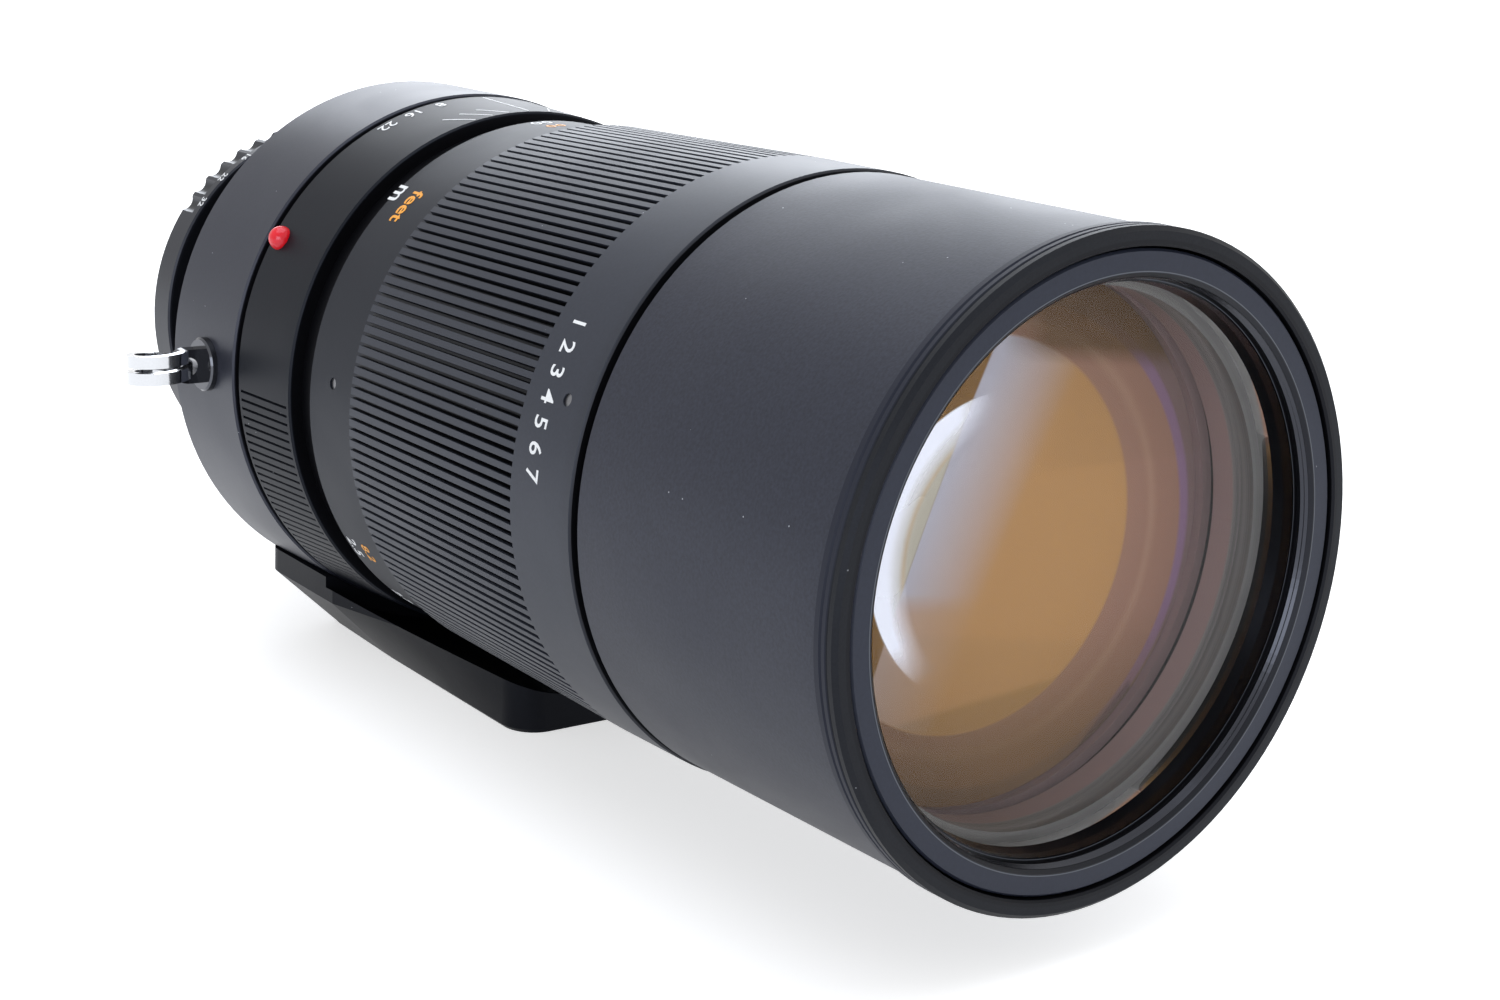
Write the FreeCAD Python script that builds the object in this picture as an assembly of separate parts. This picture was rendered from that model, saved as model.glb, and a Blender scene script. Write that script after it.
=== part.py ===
import FreeCAD, Part
import math
import os

# Telephoto lens, 280 mm f/4 class, as separate pieces. Units are millimetres and degrees.
# The optical axis is Y, the front glass looks toward -Y and +Z is up. The origin is the centre of the
# mount's flange face. A station is a distance behind the front rim, so Y is station minus LENGTH.
# An angle about the axis is measured from +Z toward -X, counterclockwise as seen from the front.
# Each size is set once: the radii build outward from the main tube's bore, and the stations run from the
# front rim to the mount's face.

# Clearances, broken edges and how far a cutter or a fused solid reaches into its neighbour
RUNNING_GAP = 0.08
FACE_GAP = 0.2
SLOT_GAP = 0.1
EDGE_BREAK = 0.3
OVERCUT = 1.0
WELD = 0.1

# Fixed main tube and its stray-light baffle
TUBE_BORE = 37.0
TUBE_WALL = 2.0
BARREL_BORE = TUBE_BORE + TUBE_WALL
TUBE_FRONT = 50.0
BAFFLE_SETBACK = 16.0
BAFFLE_LENGTH = 9.0
BAFFLE_REACH = 7.5
BAFFLE_WALL = 1.2

# Front barrel and the filter thread
BARREL_WALL = 1.6
BARREL_RADIUS = BARREL_BORE + BARREL_WALL
BARREL_FRONT = 4.0
FILTER_LEDGE = 1.0
FILTER_RING_RADIUS = BARREL_RADIUS + FILTER_LEDGE
FILTER_FACE = 0.5
FILTER_WALL = 0.9
FILTER_BORE = BARREL_BORE - FILTER_WALL
FILTER_FLARE = 0.47
FILTER_BORE_LENGTH = 2.5
FILTER_SPIGOT = 2.05

# Front cell and its three elements
CELL_WALL = 1.6
FRONT_GLASS_RADIUS = BARREL_BORE - CELL_WALL
FRONT_CELL_REAR = 34.6
CELL_LAND = 3.5
CELL_RELIEF = 0.7
CELL_LIP = 2.0
CELL_LIP_REACH = 3.0
RETAINER_STEP = 0.45
RETAINER_REACH = 0.6
SPACER_WALL = 1.7
ELEMENT_1_EDGE = 6.35
ELEMENT_1_RIM = 3.2
ELEMENT_1_FRONT = 280.0
ELEMENT_1_BACK = 420.0
ELEMENT_2_EDGE = 18.6
ELEMENT_2_RIM = 2.2
ELEMENT_2_FRONT = 112.0
ELEMENT_2_BACK = 600.0
ELEMENT_3_EDGE = 22.6
ELEMENT_3_FRONT = -260.0
ELEMENT_3_BACK = -200.0

# Hood
HOOD_CLEARANCE = 1.2
HOOD_WALL = 1.2
HOOD_BORE = FILTER_RING_RADIUS + HOOD_CLEARANCE
HOOD_RADIUS = HOOD_BORE + HOOD_WALL
HOOD_REAR = 53.7
LIP_PROUD = 0.46
LIP_RADIUS = HOOD_RADIUS + LIP_PROUD
LIP_CLEARANCE = 0.35
LIP_FACE = 1.6
LIP_SKIRT = 2.2
LIP_SKIRT_WALL = 1.0
LIP_GROOVE = 0.25
GUIDE_LENGTH = 3.2
GUIDE_INSET = 0.4

# Focusing ring: number band, ribbed grip, scale ring and cam sleeve
SLEEVE_WALL = 1.9
SLEEVE_BORE = BARREL_BORE + RUNNING_GAP
SLEEVE_RADIUS = SLEEVE_BORE + SLEEVE_WALL
GRIP_WALL = 3.32
GRIP_TAPER = 1.0
GRIP_RADIUS = SLEEVE_RADIUS + GRIP_WALL
GRIP_REAR_RADIUS = GRIP_RADIUS - GRIP_TAPER
SCALE_WALL = 1.32
SCALE_RADIUS = SLEEVE_RADIUS + SCALE_WALL
HOOD_GAP = 1.2
BAND_LAP = 7.1
BAND_LENGTH = 14.4
GRIP_LENGTH = 46.6
SCALE_LENGTH = 14.6
GRIP_FRONT = HOOD_REAR + HOOD_GAP
SLEEVE_FRONT = GRIP_FRONT + BAND_LAP
BARREL_REAR = SLEEVE_FRONT - FACE_GAP
BAND_REAR = GRIP_FRONT + BAND_LENGTH
GRIP_REAR = BAND_REAR + GRIP_LENGTH
SCALE_REAR = GRIP_REAR + SCALE_LENGTH
SLEEVE_PROUD = 0.4
SLEEVE_REAR = SCALE_REAR + SLEEVE_PROUD
RIB_COUNT = 170
RIB_DEPTH = 0.75
RIB_SHARE = 0.56
RIB_SLOPE = 0.1
GRIP_LAND = 4.0
GRIP_RELIEF = 0.8
SET_SCREW_RADIUS = 0.9
SET_SCREW_LENGTH = 1.6
BAND_SCREW_SETBACK = 5.1
BAND_SCREW_ANGLE = 70.7
SCALE_SCREW_SETBACK = 7.4
SCALE_SCREW_ANGLE = 84.2

# Focusing movement
FOCUS_NEAR_TURN = 247.0
FOCUS_FAR_TURN = 13.0
FOCUS_TRAVEL = 12.0
FOCUS_CELL_SETBACK = 28.0
FOCUS_CELL_FRONT = SLEEVE_FRONT + FOCUS_CELL_SETBACK
FOCUS_CELL_LENGTH = 13.0
FOCUS_CELL_RIM = 1.6
FOCUS_GLASS_RADIUS = 26.0
FOCUS_CELL_WALL = 2.0
FOCUS_WEB = 2.4
FOCUS_LIP = 1.4
ELEMENT_4_INSET = 2.0
ELEMENT_4_RIM = 3.6
ELEMENT_4_FRONT = 240.0
CEMENTED_CURVE = 70.0
ELEMENT_5_BACK = -62.0
PIN_RADIUS = 1.5
PIN_SETBACK = 6.0
PIN_STATION = FOCUS_CELL_FRONT + PIN_SETBACK
PIN_ROOT = 3.2
PIN_ANGLE = 30.0
PIN_COUNT = 3
SLOT_END_TURN = 3.0
SLOT_OVERCUT = 0.6

# Fixed band with the depth scale, and its index bead
SCALE_GAP = 4.9
SCALE_BAND_LENGTH = 16.1
SCALE_BAND_FRONT = SCALE_REAR + SCALE_GAP
SCALE_BAND_REAR = SCALE_BAND_FRONT + SCALE_BAND_LENGTH
SCALE_BAND_WALL = 4.2
SCALE_BAND_FLARE = 0.7
SCALE_BAND_FRONT_RADIUS = BARREL_BORE + SCALE_BAND_WALL
SCALE_BAND_REAR_RADIUS = SCALE_BAND_FRONT_RADIUS + SCALE_BAND_FLARE
SPIGOT_WALL = 1.9
SPIGOT_RADIUS = BARREL_BORE + SPIGOT_WALL
SIDE_RIB_START = 92.8
SIDE_RIB_PITCH = 1.865
SIDE_RIB_COUNT = 25
SIDE_RIB_DEPTH = 0.4
SIDE_RIB_MARGIN = 0.9
BEAD_RADIUS = 2.0
BEAD_INSET = 2.5
BEAD_ANGLE = 59.3
BEAD_SEAT = 1.2
BEAD_RISE = 1.9

# Iris diaphragm
IRIS_SETBACK = 7.2
IRIS_FRONT = SCALE_BAND_FRONT + IRIS_SETBACK
IRIS_WALL = 3.1
IRIS_BORE = TUBE_BORE - IRIS_WALL
IRIS_OPENING = 19.5
IRIS_PLATE = 2.2
IRIS_SNAP_LENGTH = 0.8
IRIS_SNAP_LIP = 1.0
IRIS_RING_LENGTH = 1.6
IRIS_RING_SETBACK = 1.0
BLADE_COUNT = 8
BLADE_THICKNESS = 0.2
BLADE_STEP = 0.3
PIVOT_INSET = 2.4
BLADE_INSET = 3.0
BLADE_SETBACK = 0.9
BLADE_PIVOT = IRIS_BORE - PIVOT_INSET
BLADE_OUTER = BLADE_PIVOT - BLADE_INSET
BLADE_INNER = IRIS_OPENING + BLADE_SETBACK
BLADE_SPAN = 135.0
BLADE_TURN = 31.0
BLADE_PIN = 0.9
BLADE_PIN_DEPTH = 1.8
BLADE_EAR = 1.5
BLADE_EAR_BEFORE = 2.0
BLADE_EAR_AFTER = 14.0
DRIVE_ANGLE = 11.3
DRIVE_TURN = 20.0
DRIVE_PIN = 0.8
DRIVE_SLOT_STEPS = 4

# Rear cell
REAR_CELL_SETBACK = 9.4
REAR_CELL_FRONT = IRIS_FRONT + REAR_CELL_SETBACK
REAR_CELL_LENGTH = 24.0
REAR_CELL_WALL = 4.5
REAR_CELL_FLANGE = 3.0
REAR_GLASS_RADIUS = 20.0
REAR_SHOULDER = 1.5
REAR_RETAINER_LENGTH = 1.5
ELEMENT_6_SETBACK = 6.2
ELEMENT_6_RIM = 3.4
ELEMENT_6_FRONT = 95.0
ELEMENT_6_BACK = 180.0
ELEMENT_7_SETBACK = 17.0
ELEMENT_7_RIM = 4.2
ELEMENT_7_FRONT = -60.0
ELEMENT_7_BACK = 90.0

# Tripod collar and its seat
SEAT_WALL = 2.0
SEAT_RADIUS = BARREL_BORE + SEAT_WALL
SEAT_FLANGE_STEP = 0.9
SEAT_FLANGE_LENGTH = 3.2
COLLAR_GAP = 1.3
COLLAR_LENGTH = 21.7
COLLAR_WALL = 3.2
COLLAR_HUB_WALL = 1.4
COLLAR_FRONT = SCALE_BAND_REAR + COLLAR_GAP
COLLAR_REAR = COLLAR_FRONT + COLLAR_LENGTH
COLLAR_RADIUS = SEAT_RADIUS + COLLAR_WALL
BALL_RADIUS = 1.0
CLICK_COUNT = 4
CLICK_DEPTH = 0.3
CLICK_DIMPLE = 0.15

# Neck and tail, from the collar's seat to the mount
TUBE_OVERHANG = 5.5
TUBE_REAR = COLLAR_REAR + TUBE_OVERHANG
TUBE_STOP = 1.0
NECK_STEP = 4.4
NECK_SETBACK = 6.5
NECK_LENGTH = 19.0
NECK_FRONT = COLLAR_REAR + NECK_SETBACK
NECK_REAR = NECK_FRONT + NECK_LENGTH
NECK_BORE_SLOPE = 3.0
TAIL_RADIUS = 29.9
TAIL_WALL = 2.9
TAIL_BORE = TAIL_RADIUS - TAIL_WALL
TAIL_SHOULDER = 0.9
TAIL_LEDGE = 2.0
TAIL_LEDGE_STEP = 2.5

# Foot
FOOT_OVERHANG = 1.5
FOOT_LENGTH = 70.0
FOOT_WAIST_SETBACK = 26.0
FOOT_REAR = COLLAR_REAR + FOOT_OVERHANG
FOOT_FRONT = FOOT_REAR - FOOT_LENGTH
FOOT_WAIST = FOOT_REAR - FOOT_WAIST_SETBACK
FOOT_DROP = 7.2
FOOT_FLANK = 11.4
FOOT_SIDE = 4.0
FOOT_BASE = COLLAR_RADIUS + FOOT_DROP
FOOT_KNEE = FOOT_BASE - FOOT_FLANK
FOOT_TOP = FOOT_KNEE - FOOT_SIDE
FOOT_FRONT_HALF = 18.0
FOOT_BASE_WAIST_HALF = 16.3
FOOT_BASE_REAR_HALF = 14.4
FOOT_WAIST_HALF = 27.3
FOOT_REAR_HALF = 26.4
FOOT_CORNER = 5.0
FOOT_BARREL_GAP = 2.3
FOOT_EDGE = 0.6
SADDLE_LAP = 0.3
FOOT_SCREW_ACROSS = 16.0
FOOT_SCREW_ALONG = 14.0
FOOT_SCREW_RADIUS = 1.5
FOOT_SCREW_HEAD = 2.75
FOOT_SCREW_HEAD_HEIGHT = 2.4
FOOT_SCREW_KEY = 1.25
FOOT_SCREW_END_GAP = 1.0
BUSH_WALL = 1.9
LARGE_THREAD_RADIUS = 4.0
LARGE_THREAD_LENGTH = 6.0
LARGE_THREAD_SETBACK = 12.4
SMALL_THREAD_RADIUS = 2.6
SMALL_THREAD_LENGTH = 4.2
SMALL_THREAD_SETBACK = 45.0

# Strap lugs
LUG_SETBACK = 9.7
LUG_STATION = COLLAR_FRONT + LUG_SETBACK
LUG_FLANGE_RADIUS = 4.4
LUG_FLANGE_HEIGHT = 1.1
LUG_EYE_THICKNESS = 2.4
LUG_EYE_RADIUS = 2.8
LUG_EYE_REACH = 3.5
LUG_EYE_BORE = 1.5
STRAP_RING_RADIUS = 4.6
STRAP_RING_TURNS = 1.7
STRAP_WIRE_WIDTH = 1.3
STRAP_WIRE_HEIGHT = 2.0
STRAP_WIRE_GAP = 0.75

# Aperture ring
APERTURE_GAP = 0.4
APERTURE_LENGTH = 6.1
APERTURE_WALL = 3.32
APERTURE_FRONT = NECK_REAR + APERTURE_GAP
APERTURE_REAR = APERTURE_FRONT + APERTURE_LENGTH
APERTURE_BALL_ANGLE = 30.0
SCALLOP_RADIUS = 1.9
SCALLOP_DEPTH = 0.9
SCALLOP_PITCH = 6.7
SCALLOP_COUNT = 17
SCALLOP_LENGTH = 4.2

# Bayonet mount and rear light shade. The mount's face closes the length.
MOUNT_LEDGE = 1.9
MOUNT_THICKNESS = 1.3
MOUNT_FRONT = APERTURE_REAR + FACE_GAP
LENGTH = MOUNT_FRONT + MOUNT_THICKNESS
THROAT_RADIUS = 23.8
THROAT_WALL = 1.6
THROAT_LENGTH = 5.6
LUG_REACH = 2.4
LUG_START = 2.4
LUG_LENGTH = 2.0
LUG_SPAN = 54.0
LUG_COUNT = 3
MOUNT_SCREW_COUNT = 6
MOUNT_SCREW_HEAD = 1.6
MOUNT_SCREW_SHANK = 0.9
MOUNT_SCREW_LENGTH = 4.0
MOUNT_SCREW_HEAD_DEPTH = 0.8
CROSS_ARM = 1.8
CROSS_WIDTH = 0.5
CROSS_DEPTH = 0.5
SHADE_BORE = 17.0
SHADE_WALL = 1.6
SHADE_REACH = 14.4
SHADE_FLANGE = 1.8
SHADE_PROUD = 4.6
SHADE_FRONT = LENGTH - SHADE_REACH

# Stop-down lever
LEVER_LENGTH = 1.5
LEVER_TAB_GAP = 0.8
LEVER_TAB_DEPTH = 2.0
LEVER_TAB_WIDTH = 3.2
LEVER_TAB_PROUD = 2.6
LEVER_RIM = 2.1
LEVER_ANGLE = 120.0

os.makedirs("parts", exist_ok=True)

AXIS_POINT = FreeCAD.Vector(0, 0, 0)
AXIS = FreeCAD.Vector(0, 1, 0)
TURN_AXIS = FreeCAD.Vector(0, -1, 0)
FULL_TURN = 360.0


def at_station(radius, station):
    """A point on the right-hand side of the axis, at a radius and a station."""
    return FreeCAD.Vector(radius, station - LENGTH, 0)


def turned(outline):
    """A solid turned about the optical axis from a closed outline of (radius, station) corners."""
    points = [at_station(radius, station) for radius, station in outline]
    face = Part.Face(Part.makePolygon(points + points[:1]))
    return face.revolve(AXIS_POINT, AXIS, FULL_TURN)


def tube(inner, outer, front, rear, outer_break=0.0, inner_break=0.0):
    """A ring between two radii and two stations, with its edges broken by chamfers."""
    outline = [(inner + inner_break, front), (outer - outer_break, front)]
    if outer_break:
        outline.append((outer, front + outer_break))
        outline.append((outer, rear - outer_break))
    outline.append((outer - outer_break, rear))
    outline.append((inner + inner_break, rear))
    if inner_break:
        outline.append((inner, rear - inner_break))
        outline.append((inner, front + inner_break))
    return turned(outline)


def drum(radius, front, rear):
    """A solid cylinder about the optical axis, between two stations."""
    return Part.makeCylinder(radius, rear - front, at_station(0, front), AXIS)


def turn_to(shape, angle):
    """A copy of the shape turned about the optical axis."""
    copy = shape.copy()
    copy.rotate(AXIS_POINT, TURN_AXIS, angle)
    return copy


def around(shape, count, first=0.0, pitch=None):
    """Copies of the shape spaced about the optical axis."""
    step = FULL_TURN / count if pitch is None else pitch
    return [turn_to(shape, first + step * index) for index in range(count)]


def radial_pin(radius, inner, outer, station, angle):
    """A round pin that points away from the optical axis."""
    base = FreeCAD.Vector(0, station - LENGTH, inner)
    pin = Part.makeCylinder(radius, outer - inner, base, FreeCAD.Vector(0, 0, 1))
    return turn_to(pin, angle)


def axial_pin(radius, circle, front, rear, angle=0.0):
    """A round pin parallel to the optical axis, on a circle about it."""
    base = FreeCAD.Vector(0, front - LENGTH, circle)
    return turn_to(Part.makeCylinder(radius, rear - front, base, AXIS), angle)


def sagitta(curve, radius):
    """Depth of a spherical surface of the given radius of curvature, out to a radius."""
    return abs(curve) - math.sqrt(curve * curve - radius * radius)


def surface_station(curve, rim_radius, rim_station, radius, outward):
    """Station of a lens surface at a radius. A positive curve bulges outward, a negative one is hollow."""
    drop = sagitta(curve, rim_radius) - sagitta(curve, radius)
    return rim_station + outward * math.copysign(drop, curve)


def element(radius, edge, rim, front_curve, back_curve):
    """A lens element: two spherical surfaces and a ground rim, with its front edge at a station."""
    back_edge = edge + rim
    half = radius / 2

    def front_at(r):
        return at_station(r, surface_station(front_curve, radius, edge, r, -1))

    def back_at(r):
        return at_station(r, surface_station(back_curve, radius, back_edge, r, 1))

    outline = [
        Part.Arc(front_at(0), front_at(half), front_at(radius)).toShape(),
        Part.LineSegment(front_at(radius), back_at(radius)).toShape(),
        Part.Arc(back_at(radius), back_at(half), back_at(0)).toShape(),
        Part.LineSegment(back_at(0), front_at(0)).toShape(),
    ]
    return Part.Face(Part.Wire(outline)).revolve(AXIS_POINT, AXIS, FULL_TURN)


def in_section(radius, angle, station=LENGTH):
    """A point in a cross-section, with its angle from +X toward +Z."""
    turn = math.radians(angle)
    return FreeCAD.Vector(radius * math.cos(turn), station - LENGTH, radius * math.sin(turn))


def sector(inner, outer, start, end, front, length):
    """Part of a ring between two angles, measured from +X toward +Z."""
    middle = (start + end) / 2
    outline = [
        Part.Arc(in_section(outer, start), in_section(outer, middle), in_section(outer, end)).toShape(),
        Part.LineSegment(in_section(outer, end), in_section(inner, end)).toShape(),
        Part.Arc(in_section(inner, end), in_section(inner, middle), in_section(inner, start)).toShape(),
        Part.LineSegment(in_section(inner, start), in_section(outer, start)).toShape(),
    ]
    plate = Part.Face(Part.Wire(outline)).extrude(FreeCAD.Vector(0, length, 0))
    plate.translate(FreeCAD.Vector(0, front - LENGTH, 0))
    return plate


def joined(shapes):
    """The shapes fused into one solid."""
    return shapes[0].multiFuse(shapes[1:]).removeSplitter()


def save(name, shape):
    """Write one piece to its own file."""
    shape.exportStep("parts/" + name + ".step")


# Hood

LIP_BORE = FILTER_RING_RADIUS + LIP_CLEARANCE
GUIDE_BORE = BARREL_RADIUS + RUNNING_GAP
GUIDE_REAR = HOOD_REAR - GUIDE_INSET
LIP_REAR = LIP_FACE + LIP_SKIRT


def hood_tube():
    """Thin sliding tube, stepped at the front for the lip's skirt."""
    seat = LIP_RADIUS - LIP_SKIRT_WALL
    return turned([
        (HOOD_BORE, LIP_FACE), (seat, LIP_FACE), (seat, LIP_REAR), (HOOD_RADIUS, LIP_REAR),
        (HOOD_RADIUS, HOOD_REAR - EDGE_BREAK), (HOOD_RADIUS - EDGE_BREAK, HOOD_REAR), (HOOD_BORE, HOOD_REAR),
    ])


def hood_lip():
    """Rubber bumper round the hood's front edge, with two fine grooves in its skirt."""
    seat = LIP_RADIUS - LIP_SKIRT_WALL
    outline = [(LIP_BORE, EDGE_BREAK), (LIP_BORE + EDGE_BREAK, 0)]
    outline += [(LIP_RADIUS - 2 * EDGE_BREAK, 0), (LIP_RADIUS, 2 * EDGE_BREAK)]
    for groove in (LIP_FACE, LIP_FACE + LIP_SKIRT / 2):
        outline += [(LIP_RADIUS, groove - LIP_GROOVE), (LIP_RADIUS - LIP_GROOVE, groove)]
        outline += [(LIP_RADIUS, groove + LIP_GROOVE)]
    outline += [(LIP_RADIUS, LIP_REAR), (seat, LIP_REAR), (seat, LIP_FACE), (LIP_BORE, LIP_FACE)]
    return turned(outline)


def hood_guide_ring():
    """Ring at the hood's rear that rides on the barrel and stops against the filter ring."""
    return tube(GUIDE_BORE, HOOD_BORE, GUIDE_REAR - GUIDE_LENGTH, GUIDE_REAR)


save("hood_tube", hood_tube())
save("hood_lip", hood_lip())
save("hood_guide_ring", hood_guide_ring())


# Front barrel, filter ring and front cell

FILTER_MOUTH = FILTER_BORE + FILTER_FLARE
RETAINER_FRONT = FILTER_FACE + FILTER_BORE_LENGTH
RETAINER_RADIUS = FILTER_BORE - RETAINER_STEP
RETAINER_BORE = FRONT_GLASS_RADIUS - RETAINER_REACH
CELL_LIP_BORE = FRONT_GLASS_RADIUS - CELL_LIP_REACH
FRONT_CELL_FRONT = BARREL_FRONT + FILTER_SPIGOT
ELEMENT_3_RIM = FRONT_CELL_REAR - CELL_LIP - ELEMENT_3_EDGE


def filter_ring():
    """Front ring with the filter thread's bore, a flared mouth, the retainer's seat and a spigot."""
    return turned([
        (FILTER_MOUTH, FILTER_FACE), (FILTER_RING_RADIUS - EDGE_BREAK, FILTER_FACE),
        (FILTER_RING_RADIUS, FILTER_FACE + EDGE_BREAK), (FILTER_RING_RADIUS, BARREL_FRONT),
        (BARREL_BORE, BARREL_FRONT), (BARREL_BORE, FRONT_CELL_FRONT), (RETAINER_RADIUS, FRONT_CELL_FRONT),
        (RETAINER_RADIUS, RETAINER_FRONT), (FILTER_BORE, RETAINER_FRONT),
        (FILTER_BORE, FILTER_FACE + FILTER_FLARE),
    ])


def front_retainer():
    """Threaded ring that holds the front element, with a step and a blackened cone inside."""
    step = (RETAINER_RADIUS + RETAINER_BORE) / 2
    middle = (RETAINER_FRONT + FRONT_CELL_FRONT) / 2
    return turned([
        (step, RETAINER_FRONT), (RETAINER_RADIUS, RETAINER_FRONT), (RETAINER_RADIUS, FRONT_CELL_FRONT),
        (RETAINER_BORE, FRONT_CELL_FRONT), (step, middle),
    ])


def front_cell():
    """Machined cell for the three front elements, relieved between its two lands and lipped at the rear."""
    relief = BARREL_BORE - CELL_RELIEF
    return turned([
        (FRONT_GLASS_RADIUS, FRONT_CELL_FRONT), (BARREL_BORE, FRONT_CELL_FRONT),
        (BARREL_BORE, FRONT_CELL_FRONT + CELL_LAND), (relief, FRONT_CELL_FRONT + CELL_LAND + CELL_RELIEF),
        (relief, FRONT_CELL_REAR - CELL_LAND - CELL_RELIEF), (BARREL_BORE, FRONT_CELL_REAR - CELL_LAND),
        (BARREL_BORE, FRONT_CELL_REAR), (CELL_LIP_BORE, FRONT_CELL_REAR),
        (CELL_LIP_BORE, FRONT_CELL_REAR - CELL_LIP), (FRONT_GLASS_RADIUS, FRONT_CELL_REAR - CELL_LIP),
    ])


def spacer(front, rear):
    """Thin ring that keeps two front elements apart at their rims."""
    return tube(FRONT_GLASS_RADIUS - SPACER_WALL, FRONT_GLASS_RADIUS, front, rear)


FIRST = element(FRONT_GLASS_RADIUS, ELEMENT_1_EDGE, ELEMENT_1_RIM, ELEMENT_1_FRONT, ELEMENT_1_BACK)
SECOND = element(FRONT_GLASS_RADIUS, ELEMENT_2_EDGE, ELEMENT_2_RIM, ELEMENT_2_FRONT, ELEMENT_2_BACK)
THIRD = element(FRONT_GLASS_RADIUS, ELEMENT_3_EDGE, ELEMENT_3_RIM, ELEMENT_3_FRONT, ELEMENT_3_BACK)

save("filter_ring", filter_ring())
save("front_barrel", tube(BARREL_BORE, BARREL_RADIUS, BARREL_FRONT, BARREL_REAR))
save("front_retainer", front_retainer())
save("front_cell", front_cell())
save("element_1", FIRST)
save("element_2", SECOND)
save("element_3", THIRD)

# Each spacer is relieved where the bulging glass reaches into its bore
save("spacer_front", spacer(ELEMENT_1_EDGE + ELEMENT_1_RIM, ELEMENT_2_EDGE).cut(FIRST).cut(SECOND))
save("spacer_rear", spacer(ELEMENT_2_EDGE + ELEMENT_2_RIM, ELEMENT_3_EDGE).cut(SECOND))


# Fixed main tube and its stray-light baffle

PIN_FAR = PIN_STATION - FOCUS_TRAVEL * FOCUS_FAR_TURN / FOCUS_NEAR_TURN
PIN_NEAR = PIN_STATION + FOCUS_TRAVEL
SLOT_HALF = PIN_RADIUS + SLOT_GAP
FOCUS_TURN = FOCUS_FAR_TURN + FOCUS_NEAR_TURN
HELIX_PITCH = FOCUS_TRAVEL * FULL_TURN / FOCUS_NEAR_TURN
BAFFLE_STATION = TUBE_FRONT + BAFFLE_SETBACK
BAFFLE_BORE = TUBE_BORE - BAFFLE_REACH


def straight_slot():
    """Cutter for one guide slot along the tube, with round ends."""
    reach = BARREL_BORE + OVERCUT
    inside = TUBE_BORE - OVERCUT
    ends = [radial_pin(SLOT_HALF, inside, reach, station, 0) for station in (PIN_FAR, PIN_NEAR)]
    corner = FreeCAD.Vector(-SLOT_HALF, PIN_FAR - LENGTH, inside)
    middle = Part.makeBox(2 * SLOT_HALF, PIN_NEAR - PIN_FAR, reach - inside, corner)
    return joined([middle] + ends)


def main_tube():
    """Tube that carries everything, with a straight guide slot for each focusing pin."""
    body = tube(TUBE_BORE, BARREL_BORE, TUBE_FRONT, TUBE_REAR)
    return body.cut(Part.makeCompound(around(straight_slot(), PIN_COUNT, PIN_ANGLE)))


def stray_light_baffle():
    """Cupped ring pressed into the main tube, narrowing toward the rear."""
    rear = BAFFLE_STATION + BAFFLE_LENGTH
    return turned([
        (TUBE_BORE - BAFFLE_WALL, BAFFLE_STATION), (TUBE_BORE, BAFFLE_STATION), (TUBE_BORE, rear),
        (BAFFLE_BORE, rear), (BAFFLE_BORE, rear - BAFFLE_WALL), (TUBE_BORE - BAFFLE_WALL, rear - BAFFLE_WALL),
    ])


save("main_tube", main_tube())
save("stray_light_baffle", stray_light_baffle())


# Focusing ring

GRIP_BORE = SLEEVE_RADIUS
BAND_SCREW_STATION = GRIP_FRONT + BAND_SCREW_SETBACK
SCALE_SCREW_STATION = GRIP_REAR + SCALE_SCREW_SETBACK
RIB_ROOT_REAR = GRIP_REAR_RADIUS - RIB_DEPTH


def ribbed_section():
    """Rib pattern of the grip: a toothed outline carried along the axis and turned to a slight taper."""
    pitch = FULL_TURN / RIB_COUNT
    land = pitch * RIB_SHARE / 2
    foot = land + pitch * RIB_SLOPE
    edges = []
    for index in range(RIB_COUNT):
        centre = pitch * index
        left_foot = in_section(RIB_ROOT_REAR, centre - foot)
        left_top = in_section(GRIP_RADIUS, centre - land)
        top = in_section(GRIP_RADIUS, centre)
        right_top = in_section(GRIP_RADIUS, centre + land)
        right_foot = in_section(RIB_ROOT_REAR, centre + foot)
        next_foot = in_section(RIB_ROOT_REAR, centre + pitch - foot)
        edges.append(Part.LineSegment(left_foot, left_top).toShape())
        edges.append(Part.Arc(left_top, top, right_top).toShape())
        edges.append(Part.LineSegment(right_top, right_foot).toShape())
        edges.append(Part.LineSegment(right_foot, next_foot).toShape())
    outline = Part.Face(Part.Wire(edges))
    ribs = outline.extrude(FreeCAD.Vector(0, GRIP_REAR - BAND_REAR, 0))
    ribs.translate(FreeCAD.Vector(0, BAND_REAR - LENGTH, 0))
    envelope = turned([
        (GRIP_BORE, BAND_REAR), (GRIP_RADIUS, BAND_REAR),
        (GRIP_REAR_RADIUS, GRIP_REAR), (GRIP_BORE, GRIP_REAR),
    ])
    return ribs.common(envelope)


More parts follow.
